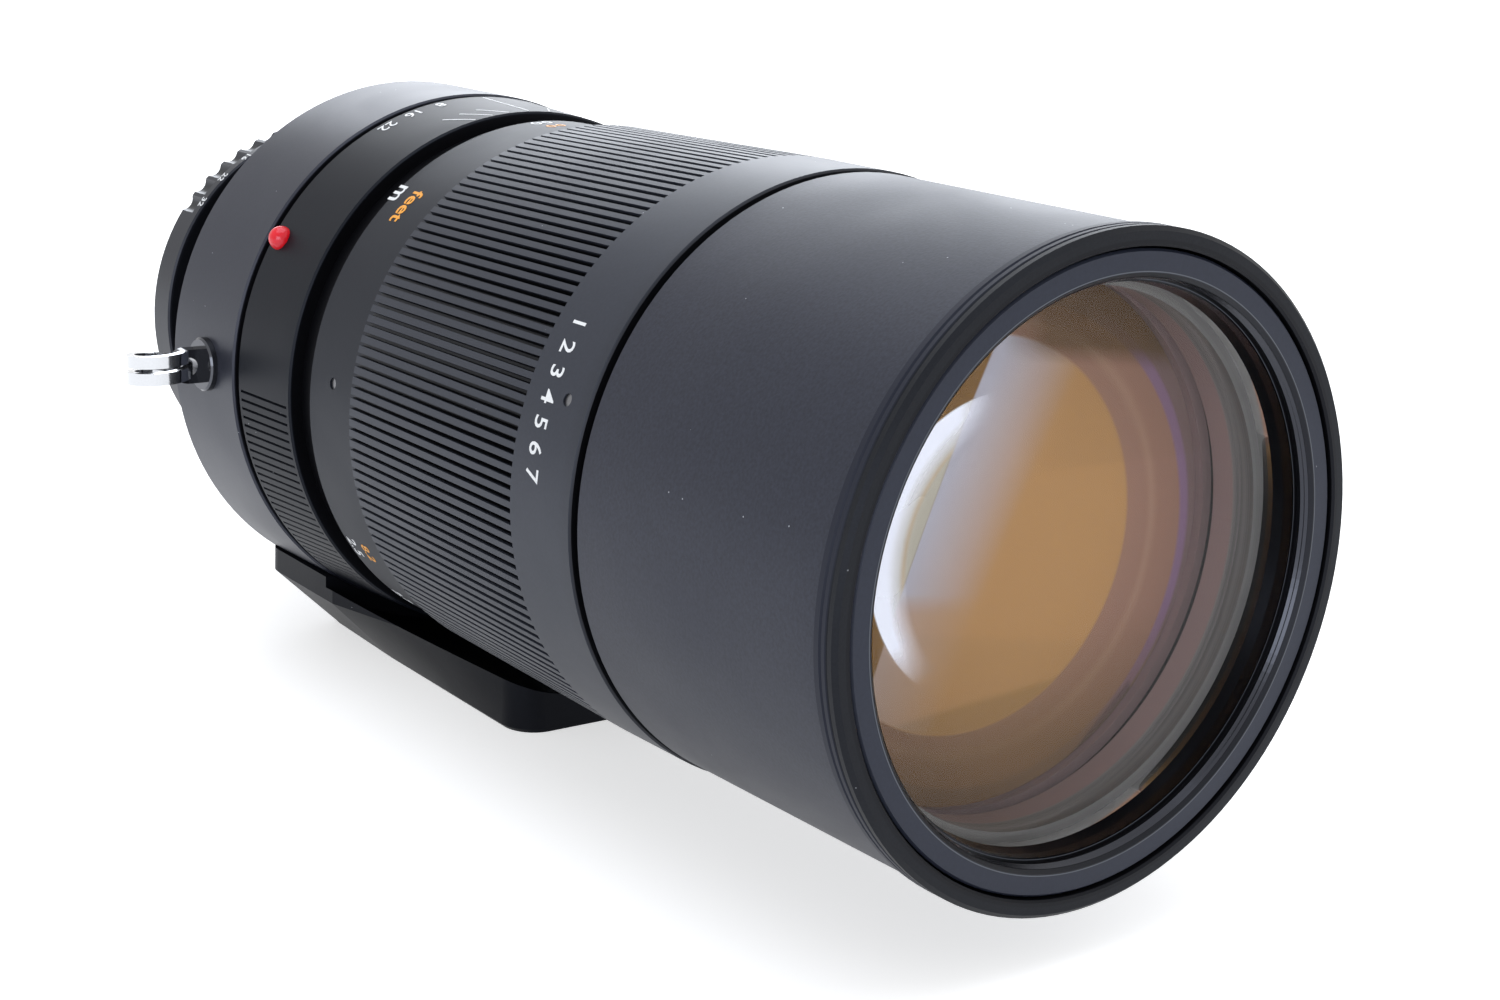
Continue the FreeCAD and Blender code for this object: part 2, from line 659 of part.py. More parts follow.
def focus_grip():
    """Number band and ribbed grip in one piece, bored to run on the front barrel's end."""
    front_bore = BARREL_RADIUS + RUNNING_GAP
    band = turned([
        (front_bore, GRIP_FRONT), (GRIP_RADIUS - EDGE_BREAK, GRIP_FRONT),
        (GRIP_RADIUS, GRIP_FRONT + EDGE_BREAK), (GRIP_RADIUS, BAND_REAR), (GRIP_BORE, BAND_REAR),
        (GRIP_BORE, SLEEVE_FRONT), (front_bore, SLEEVE_FRONT),
    ])
    grip = joined([band, ribbed_section()])
    relief = drum(GRIP_BORE + GRIP_RELIEF, SLEEVE_FRONT + GRIP_LAND, GRIP_REAR - GRIP_LAND)
    holes = around(set_screw(GRIP_RADIUS, BAND_SCREW_STATION, OVERCUT), PIN_COUNT, BAND_SCREW_ANGLE)
    return grip.cut(relief).cut(Part.makeCompound(holes))


def set_screw(surface, station, above=0.0):
    """Grub screw sunk just under a ring's surface, or the hole for it when carried above the surface."""
    floor = surface - SET_SCREW_LENGTH - EDGE_BREAK
    top = surface + above if above else surface - EDGE_BREAK
    return radial_pin(SET_SCREW_RADIUS, floor, top, station, 0)


def scale_ring():
    """Smooth ring behind the grip that carries the distances."""
    body = tube(GRIP_BORE, SCALE_RADIUS, GRIP_REAR, SCALE_REAR, EDGE_BREAK)
    hole = radial_pin(SET_SCREW_RADIUS, GRIP_BORE - OVERCUT, SCALE_RADIUS + OVERCUT, SCALE_SCREW_STATION, 0)
    return body.cut(Part.makeCompound(around(hole, PIN_COUNT, SCALE_SCREW_ANGLE)))


def scale_set_screws():
    """Three grub screws that fill the scale ring's wall."""
    screw = radial_pin(SET_SCREW_RADIUS, GRIP_BORE, SCALE_RADIUS - EDGE_BREAK, SCALE_SCREW_STATION, 0)
    # The tip is hollowed to the sleeve's curve, which it presses on
    reach = 2 * SET_SCREW_RADIUS
    screw = screw.cut(drum(GRIP_BORE, SCALE_SCREW_STATION - reach, SCALE_SCREW_STATION + reach))
    return Part.makeCompound(around(screw, PIN_COUNT, SCALE_SCREW_ANGLE))


def helical_slot():
    """Cutter for one cam slot: a helix that carries the pin along while the sleeve turns."""
    turn = FOCUS_TURN + 2 * SLOT_END_TURN
    middle = (SLEEVE_BORE + SLEEVE_RADIUS) / 2
    path = Part.makeHelix(HELIX_PITCH, HELIX_PITCH * turn / FULL_TURN, middle)
    inner = SLEEVE_BORE - SLOT_OVERCUT
    outer = SLEEVE_RADIUS + SLOT_OVERCUT
    corners = [(inner, -SLOT_HALF), (outer, -SLOT_HALF), (outer, SLOT_HALF), (inner, SLOT_HALF)]
    points = [FreeCAD.Vector(x, 0, z) for x, z in corners]
    slot = Part.Wire(path).makePipeShell([Part.makePolygon(points + points[:1])], True, True)
    slot.rotate(AXIS_POINT, FreeCAD.Vector(1, 0, 0), -90)
    start = PIN_FAR - HELIX_PITCH * SLOT_END_TURN / FULL_TURN
    slot.translate(FreeCAD.Vector(0, start - LENGTH, 0))
    return turn_to(slot, FOCUS_FAR_TURN + SLOT_END_TURN + 90)


def cam_sleeve():
    """Sleeve under the ring with a helical slot for each focusing pin."""
    body = tube(SLEEVE_BORE, SLEEVE_RADIUS, SLEEVE_FRONT, SLEEVE_REAR)
    for slot in around(helical_slot(), PIN_COUNT, PIN_ANGLE):
        body = body.cut(slot)
    return body


save("focus_grip", focus_grip())
save("scale_ring", scale_ring())
save("grip_set_screws", Part.makeCompound(
    around(set_screw(GRIP_RADIUS, BAND_SCREW_STATION), PIN_COUNT, BAND_SCREW_ANGLE)))
save("scale_set_screws", scale_set_screws())
save("focus_cam_sleeve", cam_sleeve())


# Focusing cell, which slides in the main tube

FOCUS_CELL_RADIUS = TUBE_BORE - RUNNING_GAP
FOCUS_CELL_REAR = FOCUS_CELL_FRONT + FOCUS_CELL_LENGTH
FOCUS_HUB = FOCUS_GLASS_RADIUS + FOCUS_CELL_WALL
FOCUS_SEAT = FOCUS_CELL_REAR - FOCUS_LIP
FOCUS_LIP_BORE = FOCUS_GLASS_RADIUS - FOCUS_LIP
ELEMENT_4_EDGE = FOCUS_CELL_FRONT + ELEMENT_4_INSET
ELEMENT_5_EDGE = ELEMENT_4_EDGE + ELEMENT_4_RIM
ELEMENT_5_RIM = FOCUS_SEAT - ELEMENT_5_EDGE
PIN_TIP = SLEEVE_RADIUS - EDGE_BREAK


def focus_cell():
    """Sliding cell: an outer guide rim, a web and a hub that holds a cemented pair."""
    rim = FOCUS_CELL_RADIUS - FOCUS_CELL_RIM
    web = PIN_STATION - FOCUS_WEB
    body = joined([
        tube(rim, FOCUS_CELL_RADIUS, FOCUS_CELL_FRONT, FOCUS_CELL_REAR),
        tube(FOCUS_GLASS_RADIUS, FOCUS_HUB, FOCUS_CELL_FRONT, FOCUS_CELL_REAR),
        tube(FOCUS_HUB - WELD, rim + WELD, web, PIN_STATION + FOCUS_WEB),
        tube(FOCUS_LIP_BORE, FOCUS_GLASS_RADIUS + WELD, FOCUS_SEAT, FOCUS_CELL_REAR),
    ])
    holes = radial_pin(PIN_RADIUS, TUBE_BORE - PIN_ROOT, TUBE_BORE + OVERCUT, PIN_STATION, 0)
    return body.cut(Part.makeCompound(around(holes, PIN_COUNT, PIN_ANGLE)))


def focus_pins():
    """Three pins from the cell through the straight slots into the cam slots."""
    pin = radial_pin(PIN_RADIUS, TUBE_BORE - PIN_ROOT, PIN_TIP, PIN_STATION, 0)
    return Part.makeCompound(around(pin, PIN_COUNT, PIN_ANGLE))


FOURTH = element(FOCUS_GLASS_RADIUS, ELEMENT_4_EDGE, ELEMENT_4_RIM, ELEMENT_4_FRONT, -CEMENTED_CURVE)
FIFTH = element(FOCUS_GLASS_RADIUS, ELEMENT_5_EDGE, ELEMENT_5_RIM, CEMENTED_CURVE, ELEMENT_5_BACK)

save("focus_cell", focus_cell())
save("focus_cell_retainer", tube(
    FOCUS_LIP_BORE, FOCUS_GLASS_RADIUS, FOCUS_CELL_FRONT + EDGE_BREAK, ELEMENT_4_EDGE).cut(FOURTH))
save("focus_pins", focus_pins())
save("element_4", FOURTH)
save("element_5", FIFTH)


# Fixed band with the depth scale

BEAD_STATION = SCALE_BAND_REAR - BEAD_INSET
BEAD_BASE = SCALE_BAND_REAR_RADIUS - BEAD_SEAT


def side_rib_cutter():
    """Cutter for one fine groove between two side ribs of the band."""
    half = math.radians(SIDE_RIB_PITCH) * SCALE_BAND_FRONT_RADIUS / 4
    front = SCALE_BAND_FRONT + SIDE_RIB_MARGIN
    rear = SCALE_BAND_REAR - SIDE_RIB_MARGIN
    slope = SCALE_BAND_FLARE / SCALE_BAND_LENGTH
    floor = SCALE_BAND_FRONT_RADIUS - SIDE_RIB_DEPTH
    reach = SIDE_RIB_DEPTH + OVERCUT
    points = [
        FreeCAD.Vector(0, front - LENGTH, floor), FreeCAD.Vector(2 * half, front - LENGTH, floor + reach),
        FreeCAD.Vector(-2 * half, front - LENGTH, floor + reach),
    ]
    face = Part.Face(Part.makePolygon(points + points[:1]))
    return face.extrude(FreeCAD.Vector(0, rear - front, slope * (rear - front)))


def index_bead():
    """Raised round bead seated in the band's rear edge."""
    stem = radial_pin(BEAD_RADIUS, BEAD_BASE, SCALE_BAND_REAR_RADIUS, BEAD_STATION, 0)
    dome_radius = (BEAD_RADIUS ** 2 + BEAD_RISE ** 2) / (2 * BEAD_RISE)
    centre = FreeCAD.Vector(0, BEAD_STATION - LENGTH, SCALE_BAND_REAR_RADIUS + BEAD_RISE - dome_radius)
    dome = Part.makeSphere(dome_radius, centre)
    top = SCALE_BAND_REAR_RADIUS + BEAD_RISE + OVERCUT
    column = radial_pin(BEAD_RADIUS, SCALE_BAND_REAR_RADIUS - WELD, top, BEAD_STATION, 0)
    return turn_to(joined([stem, dome.common(column)]), BEAD_ANGLE)


def depth_scale_band():
    """Fixed band with grooved sides, stepped at the front to sit under the scale ring."""
    spigot_front = SLEEVE_REAR + FACE_GAP
    body = turned([
        (BARREL_BORE, spigot_front), (SPIGOT_RADIUS, spigot_front), (SPIGOT_RADIUS, SCALE_BAND_FRONT),
        (SCALE_BAND_FRONT_RADIUS - EDGE_BREAK, SCALE_BAND_FRONT),
        (SCALE_BAND_FRONT_RADIUS, SCALE_BAND_FRONT + EDGE_BREAK),
        (SCALE_BAND_REAR_RADIUS, SCALE_BAND_REAR - EDGE_BREAK),
        (SCALE_BAND_REAR_RADIUS - EDGE_BREAK, SCALE_BAND_REAR), (BARREL_BORE, SCALE_BAND_REAR),
    ])
    grooves = around(side_rib_cutter(), SIDE_RIB_COUNT, SIDE_RIB_START, SIDE_RIB_PITCH)
    grooves += around(side_rib_cutter(), SIDE_RIB_COUNT, -SIDE_RIB_START, -SIDE_RIB_PITCH)
    seat = radial_pin(BEAD_RADIUS, BEAD_BASE, SCALE_BAND_REAR_RADIUS + OVERCUT, BEAD_STATION, BEAD_ANGLE)
    return body.cut(Part.makeCompound(grooves)).cut(seat)


save("depth_scale_band", depth_scale_band())
save("index_bead", index_bead())


# Iris diaphragm

IRIS_RING_RADIUS = IRIS_BORE - RUNNING_GAP
IRIS_RING_FRONT = IRIS_FRONT + FACE_GAP
FIRST_BLADE = IRIS_RING_FRONT + IRIS_RING_LENGTH + BLADE_STEP
IRIS_PLATE_FRONT = FIRST_BLADE + BLADE_COUNT * BLADE_STEP
IRIS_REAR = IRIS_PLATE_FRONT + IRIS_PLATE


def blade_turn_about(point, angle):
    """A point of the first blade after the blade has turned about its pivot."""
    turn = math.radians(angle)
    x = point.x - BLADE_PIVOT
    z = point.z
    return FreeCAD.Vector(
        BLADE_PIVOT + x * math.cos(turn) - z * math.sin(turn), 0, x * math.sin(turn) + z * math.cos(turn))


def drive_slot():
    """Cutter for one slanted slot, along the drive pin's path as ring and blade turn together."""
    pin = in_section(BLADE_PIVOT, DRIVE_ANGLE)
    path = []
    for step in range(DRIVE_SLOT_STEPS + 1):
        share = step / DRIVE_SLOT_STEPS
        moved = blade_turn_about(pin, BLADE_TURN * share)
        radius = math.hypot(moved.x, moved.z)
        angle = math.degrees(math.atan2(moved.z, moved.x)) + DRIVE_TURN * share
        path.append(in_section(radius, angle, IRIS_RING_FRONT))
    half = DRIVE_PIN + SLOT_GAP
    depth = IRIS_RING_LENGTH
    pieces = [Part.makeCylinder(half, depth, point, AXIS) for point in path]
    for start, end in zip(path, path[1:]):
        along = (end - start).normalize()
        side = AXIS.cross(along) * half
        corners = [start + side, end + side, end - side, start - side]
        face = Part.Face(Part.makePolygon(corners + corners[:1]))
        pieces.append(face.extrude(AXIS * depth))
    return joined(pieces)


def iris_drive_ring():
    """Ring with a slanted slot for each blade's drive pin."""
    bore = IRIS_OPENING + IRIS_RING_SETBACK
    body = tube(bore, IRIS_RING_RADIUS, IRIS_RING_FRONT, IRIS_RING_FRONT + IRIS_RING_LENGTH)
    return body.cut(Part.makeCompound(around(drive_slot(), BLADE_COUNT)))


def iris_housing():
    """Cup with the iris opening and a pivot hole for each blade."""
    body = turned([
        (IRIS_BORE, IRIS_FRONT), (TUBE_BORE, IRIS_FRONT), (TUBE_BORE, IRIS_REAR), (IRIS_OPENING, IRIS_REAR),
        (IRIS_OPENING, IRIS_PLATE_FRONT), (IRIS_BORE, IRIS_PLATE_FRONT),
    ])
    centre = in_section(BLADE_PIVOT, 0, IRIS_PLATE_FRONT)
    hole = Part.makeCylinder(BLADE_PIN + RUNNING_GAP / 2, BLADE_PIN_DEPTH + FACE_GAP, centre, AXIS)
    return body.cut(Part.makeCompound(around(hole, BLADE_COUNT)))


def iris_blade(index):
    """Curved blade at its own level, with a pivot pin behind and a drive pin in front."""
    level = FIRST_BLADE + index * BLADE_STEP
    crescent = sector(BLADE_INNER, BLADE_OUTER, 0, BLADE_SPAN, level, BLADE_THICKNESS)
    ear = sector(
        BLADE_OUTER - OVERCUT, BLADE_PIVOT + BLADE_EAR, -BLADE_EAR_BEFORE, BLADE_EAR_AFTER, level,
        BLADE_THICKNESS)
    tip_centre = in_section((BLADE_INNER + BLADE_OUTER) / 2, BLADE_SPAN, level)
    tip = Part.makeCylinder((BLADE_OUTER - BLADE_INNER) / 2, BLADE_THICKNESS, tip_centre, AXIS)
    back = level + BLADE_THICKNESS
    pivot_length = IRIS_PLATE_FRONT + BLADE_PIN_DEPTH - back
    pivot = Part.makeCylinder(BLADE_PIN, pivot_length, in_section(BLADE_PIVOT, 0, back), AXIS)
    drive_centre = in_section(BLADE_PIVOT, DRIVE_ANGLE, IRIS_RING_FRONT + FACE_GAP)
    drive = Part.makeCylinder(DRIVE_PIN, level - IRIS_RING_FRONT - FACE_GAP, drive_centre, AXIS)
    return turn_to(joined([crescent, ear, tip, pivot, drive]), index * FULL_TURN / BLADE_COUNT)


save("iris_housing", iris_housing())
save("iris_drive_ring", iris_drive_ring())
save("iris_snap_ring", tube(IRIS_BORE - IRIS_SNAP_LIP, TUBE_BORE, IRIS_FRONT - IRIS_SNAP_LENGTH, IRIS_FRONT))
for blade in range(BLADE_COUNT):
    save("iris_blade_" + str(blade + 1), iris_blade(blade))


# Rear cell and its two elements

ELEMENT_6_EDGE = REAR_CELL_FRONT + ELEMENT_6_SETBACK
ELEMENT_7_EDGE = REAR_CELL_FRONT + ELEMENT_7_SETBACK
REAR_CELL_REAR = REAR_CELL_FRONT + REAR_CELL_LENGTH
REAR_CELL_SEAT = REAR_GLASS_RADIUS - REAR_SHOULDER
REAR_SEAT_FRONT = ELEMENT_6_EDGE + ELEMENT_6_RIM
REAR_CELL_RADIUS = REAR_GLASS_RADIUS + REAR_CELL_WALL


def rear_cell():
    """Flanged cell with a fixed shoulder between its two elements."""
    return turned([
        (REAR_GLASS_RADIUS, REAR_CELL_FRONT), (TUBE_BORE, REAR_CELL_FRONT),
        (TUBE_BORE, REAR_CELL_FRONT + REAR_CELL_FLANGE),
        (REAR_CELL_RADIUS, REAR_CELL_FRONT + REAR_CELL_FLANGE),
        (REAR_CELL_RADIUS, REAR_CELL_REAR), (REAR_GLASS_RADIUS, REAR_CELL_REAR),
        (REAR_GLASS_RADIUS, ELEMENT_7_EDGE), (REAR_CELL_SEAT, ELEMENT_7_EDGE),
        (REAR_CELL_SEAT, REAR_SEAT_FRONT), (REAR_GLASS_RADIUS, REAR_SEAT_FRONT),
    ])


def rear_retainers():
    """Threaded rings in front of the sixth element and behind the seventh."""
    front = tube(REAR_CELL_SEAT, REAR_GLASS_RADIUS, ELEMENT_6_EDGE - REAR_RETAINER_LENGTH, ELEMENT_6_EDGE)
    back = ELEMENT_7_EDGE + ELEMENT_7_RIM
    rear = tube(REAR_CELL_SEAT, REAR_GLASS_RADIUS, back, back + REAR_RETAINER_LENGTH)
    return Part.makeCompound([front.cut(SIXTH), rear.cut(SEVENTH)])


SIXTH = element(REAR_GLASS_RADIUS, ELEMENT_6_EDGE, ELEMENT_6_RIM, ELEMENT_6_FRONT, ELEMENT_6_BACK)
SEVENTH = element(REAR_GLASS_RADIUS, ELEMENT_7_EDGE, ELEMENT_7_RIM, ELEMENT_7_FRONT, ELEMENT_7_BACK)

save("rear_cell", rear_cell().cut(SIXTH))
save("rear_cell_retainers", rear_retainers())
save("element_6", SIXTH)
save("element_7", SEVENTH)


# Rear barrel

SEAT_FLANGE_FRONT = COLLAR_REAR + FACE_GAP
SEAT_FLANGE_REAR = SEAT_FLANGE_FRONT + SEAT_FLANGE_LENGTH
SEAT_FLANGE_RADIUS = SEAT_RADIUS + SEAT_FLANGE_STEP
NECK_FRONT_RADIUS = SEAT_RADIUS - NECK_STEP
NECK_REAR_RADIUS = TAIL_RADIUS + TAIL_SHOULDER
NECK_BORE = TAIL_BORE + TAIL_LEDGE_STEP
TAIL_BORE_FRONT = SHADE_FRONT - TAIL_LEDGE
NECK_BORE_REAR = TAIL_BORE_FRONT - TAIL_LEDGE
MOUNT_SCREW_CIRCLE = (TAIL_BORE + TAIL_RADIUS) / 2
# The collar's click ball runs in a groove of its seat, over four dimples, and the aperture ring's ball stands
# out of the tail
CLICK_STATION = (COLLAR_FRONT + COLLAR_REAR) / 2
CLICK_CENTRE = SEAT_RADIUS - CLICK_DEPTH + BALL_RADIUS
APERTURE_BALL_STATION = (APERTURE_FRONT + APERTURE_REAR) / 2
APERTURE_BALL_CENTRE = TAIL_RADIUS + CLICK_DEPTH - BALL_RADIUS


def rear_barrel():
    """Barrel behind the depth scale: the collar's seat, a flange, the neck and the aperture ring's tail."""
    body = turned([
        (BARREL_BORE, SCALE_BAND_REAR), (SEAT_RADIUS, SCALE_BAND_REAR), (SEAT_RADIUS, SEAT_FLANGE_FRONT),
        (SEAT_FLANGE_RADIUS, SEAT_FLANGE_FRONT), (SEAT_FLANGE_RADIUS, SEAT_FLANGE_REAR),
        (NECK_FRONT_RADIUS, NECK_FRONT), (NECK_REAR_RADIUS, NECK_REAR), (TAIL_RADIUS, NECK_REAR),
        (TAIL_RADIUS, MOUNT_FRONT), (TAIL_BORE, MOUNT_FRONT), (TAIL_BORE, TAIL_BORE_FRONT),
        (NECK_BORE, NECK_BORE_REAR), (NECK_BORE, TUBE_REAR + NECK_BORE_SLOPE),
        (TUBE_BORE - TUBE_STOP, TUBE_REAR), (BARREL_BORE, TUBE_REAR),
    ])
    groove = tube(
        SEAT_RADIUS - CLICK_DEPTH - SLOT_GAP, SEAT_RADIUS + OVERCUT, CLICK_STATION - BALL_RADIUS,
        CLICK_STATION + BALL_RADIUS)
    dimple_centre = FreeCAD.Vector(0, CLICK_STATION - LENGTH, CLICK_CENTRE - CLICK_DIMPLE)
    dimple = Part.makeSphere(BALL_RADIUS + SLOT_GAP, dimple_centre)
    holes = axial_pin(MOUNT_SCREW_SHANK, MOUNT_SCREW_CIRCLE, LENGTH - MOUNT_SCREW_LENGTH, LENGTH)
    pocket_floor = APERTURE_BALL_CENTRE - BALL_RADIUS
    pocket = radial_pin(
        BALL_RADIUS + SLOT_GAP, pocket_floor, TAIL_RADIUS + OVERCUT, APERTURE_BALL_STATION,
        APERTURE_BALL_ANGLE)
    cutters = around(dimple, CLICK_COUNT) + around(holes, MOUNT_SCREW_COUNT) + [pocket]
    return body.cut(groove).cut(Part.makeCompound(cutters))


save("rear_barrel", rear_barrel())


# Tripod collar with its click ball

COLLAR_BORE = SEAT_RADIUS + RUNNING_GAP
COLLAR_HUB = SEAT_RADIUS + COLLAR_HUB_WALL
COLLAR_HUB_FRONT = SCALE_BAND_REAR + FACE_GAP
POCKET_TOP = CLICK_CENTRE + BALL_RADIUS + SLOT_GAP
SCREW_TOP = -SEAT_RADIUS - FOOT_SCREW_END_GAP


def foot_screw_places():
    """The four places of the foot's screws, two across and two along."""
    middle = (COLLAR_FRONT + COLLAR_REAR) / 2 - LENGTH
    return [
        (side * FOOT_SCREW_ACROSS / 2, middle + end * FOOT_SCREW_ALONG / 2)
        for side in (-1, 1) for end in (-1, 1)]


def collar():
    """Turning ring with a recessed hub at the front, a pocket for the click ball and tapped holes below."""
    body = turned([
        (COLLAR_BORE, COLLAR_HUB_FRONT), (COLLAR_HUB, COLLAR_HUB_FRONT), (COLLAR_HUB, COLLAR_FRONT),
        (COLLAR_RADIUS - EDGE_BREAK, COLLAR_FRONT), (COLLAR_RADIUS, COLLAR_FRONT + EDGE_BREAK),
        (COLLAR_RADIUS, COLLAR_REAR - EDGE_BREAK), (COLLAR_RADIUS - EDGE_BREAK, COLLAR_REAR),
        (COLLAR_BORE, COLLAR_REAR),
    ])
    pocket = radial_pin(BALL_RADIUS + SLOT_GAP, SEAT_RADIUS, POCKET_TOP, CLICK_STATION, 0)
    for x, y in foot_screw_places():
        base = FreeCAD.Vector(x, y, -COLLAR_RADIUS - OVERCUT)
        body = body.cut(Part.makeCylinder(FOOT_SCREW_RADIUS, SCREW_TOP - base.z, base))
    return body.cut(pocket)


def click_ball(station, centre):
    """Small steel ball on top of the axis, at a station and a distance from the axis."""
    return Part.makeSphere(BALL_RADIUS, FreeCAD.Vector(0, station - LENGTH, centre))


save("collar", collar())
save("collar_click_ball", click_ball(CLICK_STATION, CLICK_CENTRE))


# Foot


def foot_outline(front_half, waist_half, rear_half, level):
    """Closed plan outline of the foot at one level, with round corners."""
    corners = [
        (front_half, FOOT_FRONT, FOOT_CORNER), (waist_half, FOOT_WAIST, 0),
        (rear_half, FOOT_REAR, FOOT_CORNER), (-rear_half, FOOT_REAR, FOOT_CORNER),
        (-waist_half, FOOT_WAIST, 0), (-front_half, FOOT_FRONT, FOOT_CORNER),
    ]
    points = [FreeCAD.Vector(x, station - LENGTH, level) for x, station, corner in corners]
    entries = []
    for index, (x, station, corner) in enumerate(corners):
        here = points[index]
        back = (points[index - 1] - here).normalize()
        ahead = (points[(index + 1) % len(points)] - here).normalize()
        if not corner:
            entries.append((here, None, here))
            continue
        half = math.acos(max(-1, min(1, back.dot(ahead)))) / 2
        trim = corner / math.tan(half)
        centre = here + (back + ahead).normalize() * (corner / math.sin(half))
        middle = centre + (here - centre).normalize() * corner
        entries.append((here + back * trim, middle, here + ahead * trim))
    edges = []
    for index, (start, middle, end) in enumerate(entries):
        if middle is not None:
            edges.append(Part.Arc(start, middle, end).toShape())
        following = entries[(index + 1) % len(entries)][0]
        edges.append(Part.LineSegment(end, following).toShape())
    return Part.Wire(edges)


def foot_blank():
    """The foot before boring: bevelled flanks from the base to the knee, then upright sides."""
    sole = foot_outline(
        FOOT_FRONT_HALF - FOOT_EDGE, FOOT_BASE_WAIST_HALF - FOOT_EDGE, FOOT_BASE_REAR_HALF - FOOT_EDGE,
        -FOOT_BASE)
    base = foot_outline(FOOT_FRONT_HALF, FOOT_BASE_WAIST_HALF, FOOT_BASE_REAR_HALF, -FOOT_BASE + FOOT_EDGE)
    knee = foot_outline(FOOT_FRONT_HALF, FOOT_WAIST_HALF, FOOT_REAR_HALF, -FOOT_KNEE)
    edge = Part.makeLoft([sole, base], True, True)
    flanks = Part.makeLoft([base, knee], True, True)
    sides = Part.Face(knee).extrude(FreeCAD.Vector(0, 0, FOOT_KNEE - FOOT_TOP))
    return edge.fuse(flanks).fuse(sides)


def foot():
    """Foot with a hollow top that clears the barrel, a saddle on the collar and bores for its hardware."""
    body = foot_blank()
    saddle = COLLAR_FRONT - SADDLE_LAP
    body = body.cut(drum(GRIP_RADIUS + FOOT_BARREL_GAP, FOOT_FRONT - OVERCUT, saddle))
    body = body.cut(drum(COLLAR_RADIUS, saddle - OVERCUT, FOOT_REAR + OVERCUT))
    for x, y in foot_screw_places():
        body = body.cut(foot_screw(x, y, OVERCUT))
    for radius, length, station in THREADS:
        base = FreeCAD.Vector(0, station - LENGTH, -FOOT_BASE)
        body = body.cut(Part.makeCylinder(radius + BUSH_WALL, length, base))
    return body


def foot_screw(x, y, below=0.0):
    """Cap screw from the foot's base into the collar, or its clearance when carried below the base."""
    seat = -FOOT_BASE + FOOT_SCREW_HEAD_HEIGHT + FOOT_EDGE
    start = FreeCAD.Vector(x, y, -FOOT_BASE + FOOT_EDGE)
    if below:
        start = FreeCAD.Vector(x, y, -FOOT_BASE - below)
    head = Part.makeCylinder(FOOT_SCREW_HEAD, seat - start.z, start)
    shank = Part.makeCylinder(FOOT_SCREW_RADIUS, SCREW_TOP - start.z, start)
    return joined([head, shank])


def foot_screws():
    """The four cap screws with their key sockets."""
    screws = []
    for x, y in foot_screw_places():
        socket = Part.makeCylinder(
            FOOT_SCREW_KEY, FOOT_SCREW_HEAD_HEIGHT / 2, FreeCAD.Vector(x, y, -FOOT_BASE + FOOT_EDGE))
        screws.append(foot_screw(x, y).cut(socket))
    return Part.makeCompound(screws)


def thread_bush(radius, length, station):
    """Steel bush for a tripod screw, flush with the foot's base."""
    base = FreeCAD.Vector(0, station - LENGTH, -FOOT_BASE)
    outer = Part.makeCylinder(radius + BUSH_WALL, length, base)
    return outer.cut(Part.makeCylinder(radius, length, base))


LARGE_THREAD = (LARGE_THREAD_RADIUS, LARGE_THREAD_LENGTH, FOOT_REAR - LARGE_THREAD_SETBACK)
SMALL_THREAD = (SMALL_THREAD_RADIUS, SMALL_THREAD_LENGTH, FOOT_REAR - SMALL_THREAD_SETBACK)
THREADS = (LARGE_THREAD, SMALL_THREAD)

save("foot", foot())
save("foot_screws", foot_screws())
save("tripod_bush_large", thread_bush(*LARGE_THREAD))
save("tripod_bush_small", thread_bush(*SMALL_THREAD))


# Strap lugs and rings

EYE_HEIGHT = COLLAR_RADIUS + LUG_EYE_REACH


def strap_lug():
    """Lug on top of the collar: a round flange and a flat eye. Copies are turned to the sides."""
    centre = FreeCAD.Vector(0, LUG_STATION - LENGTH, 0)
    flange_top = COLLAR_RADIUS + LUG_FLANGE_HEIGHT
    flange = radial_pin(LUG_FLANGE_RADIUS, COLLAR_RADIUS - OVERCUT, flange_top, LUG_STATION, 0)
    rim = [edge for edge in flange.Edges if edge.BoundBox.ZMin > COLLAR_RADIUS]
    flange = flange.makeChamfer(EDGE_BREAK, rim)
    reach = 2 * LUG_FLANGE_RADIUS
    flange = flange.cut(drum(COLLAR_RADIUS, LUG_STATION - reach, LUG_STATION + reach))
    eye_centre = FreeCAD.Vector(0, centre.y - LUG_EYE_THICKNESS / 2, EYE_HEIGHT)
    eye = Part.makeCylinder(LUG_EYE_RADIUS, LUG_EYE_THICKNESS, eye_centre, AXIS)
    corner = FreeCAD.Vector(-LUG_EYE_RADIUS, eye_centre.y, flange_top - EDGE_BREAK)
    tongue = Part.makeBox(2 * LUG_EYE_RADIUS, LUG_EYE_THICKNESS, EYE_HEIGHT - corner.z, corner)
    bore_base = eye_centre - AXIS * LUG_EYE_THICKNESS / 2
    bore = Part.makeCylinder(LUG_EYE_BORE, 2 * LUG_EYE_THICKNESS, bore_base, AXIS)
    return joined([flange, tongue, eye]).cut(bore)


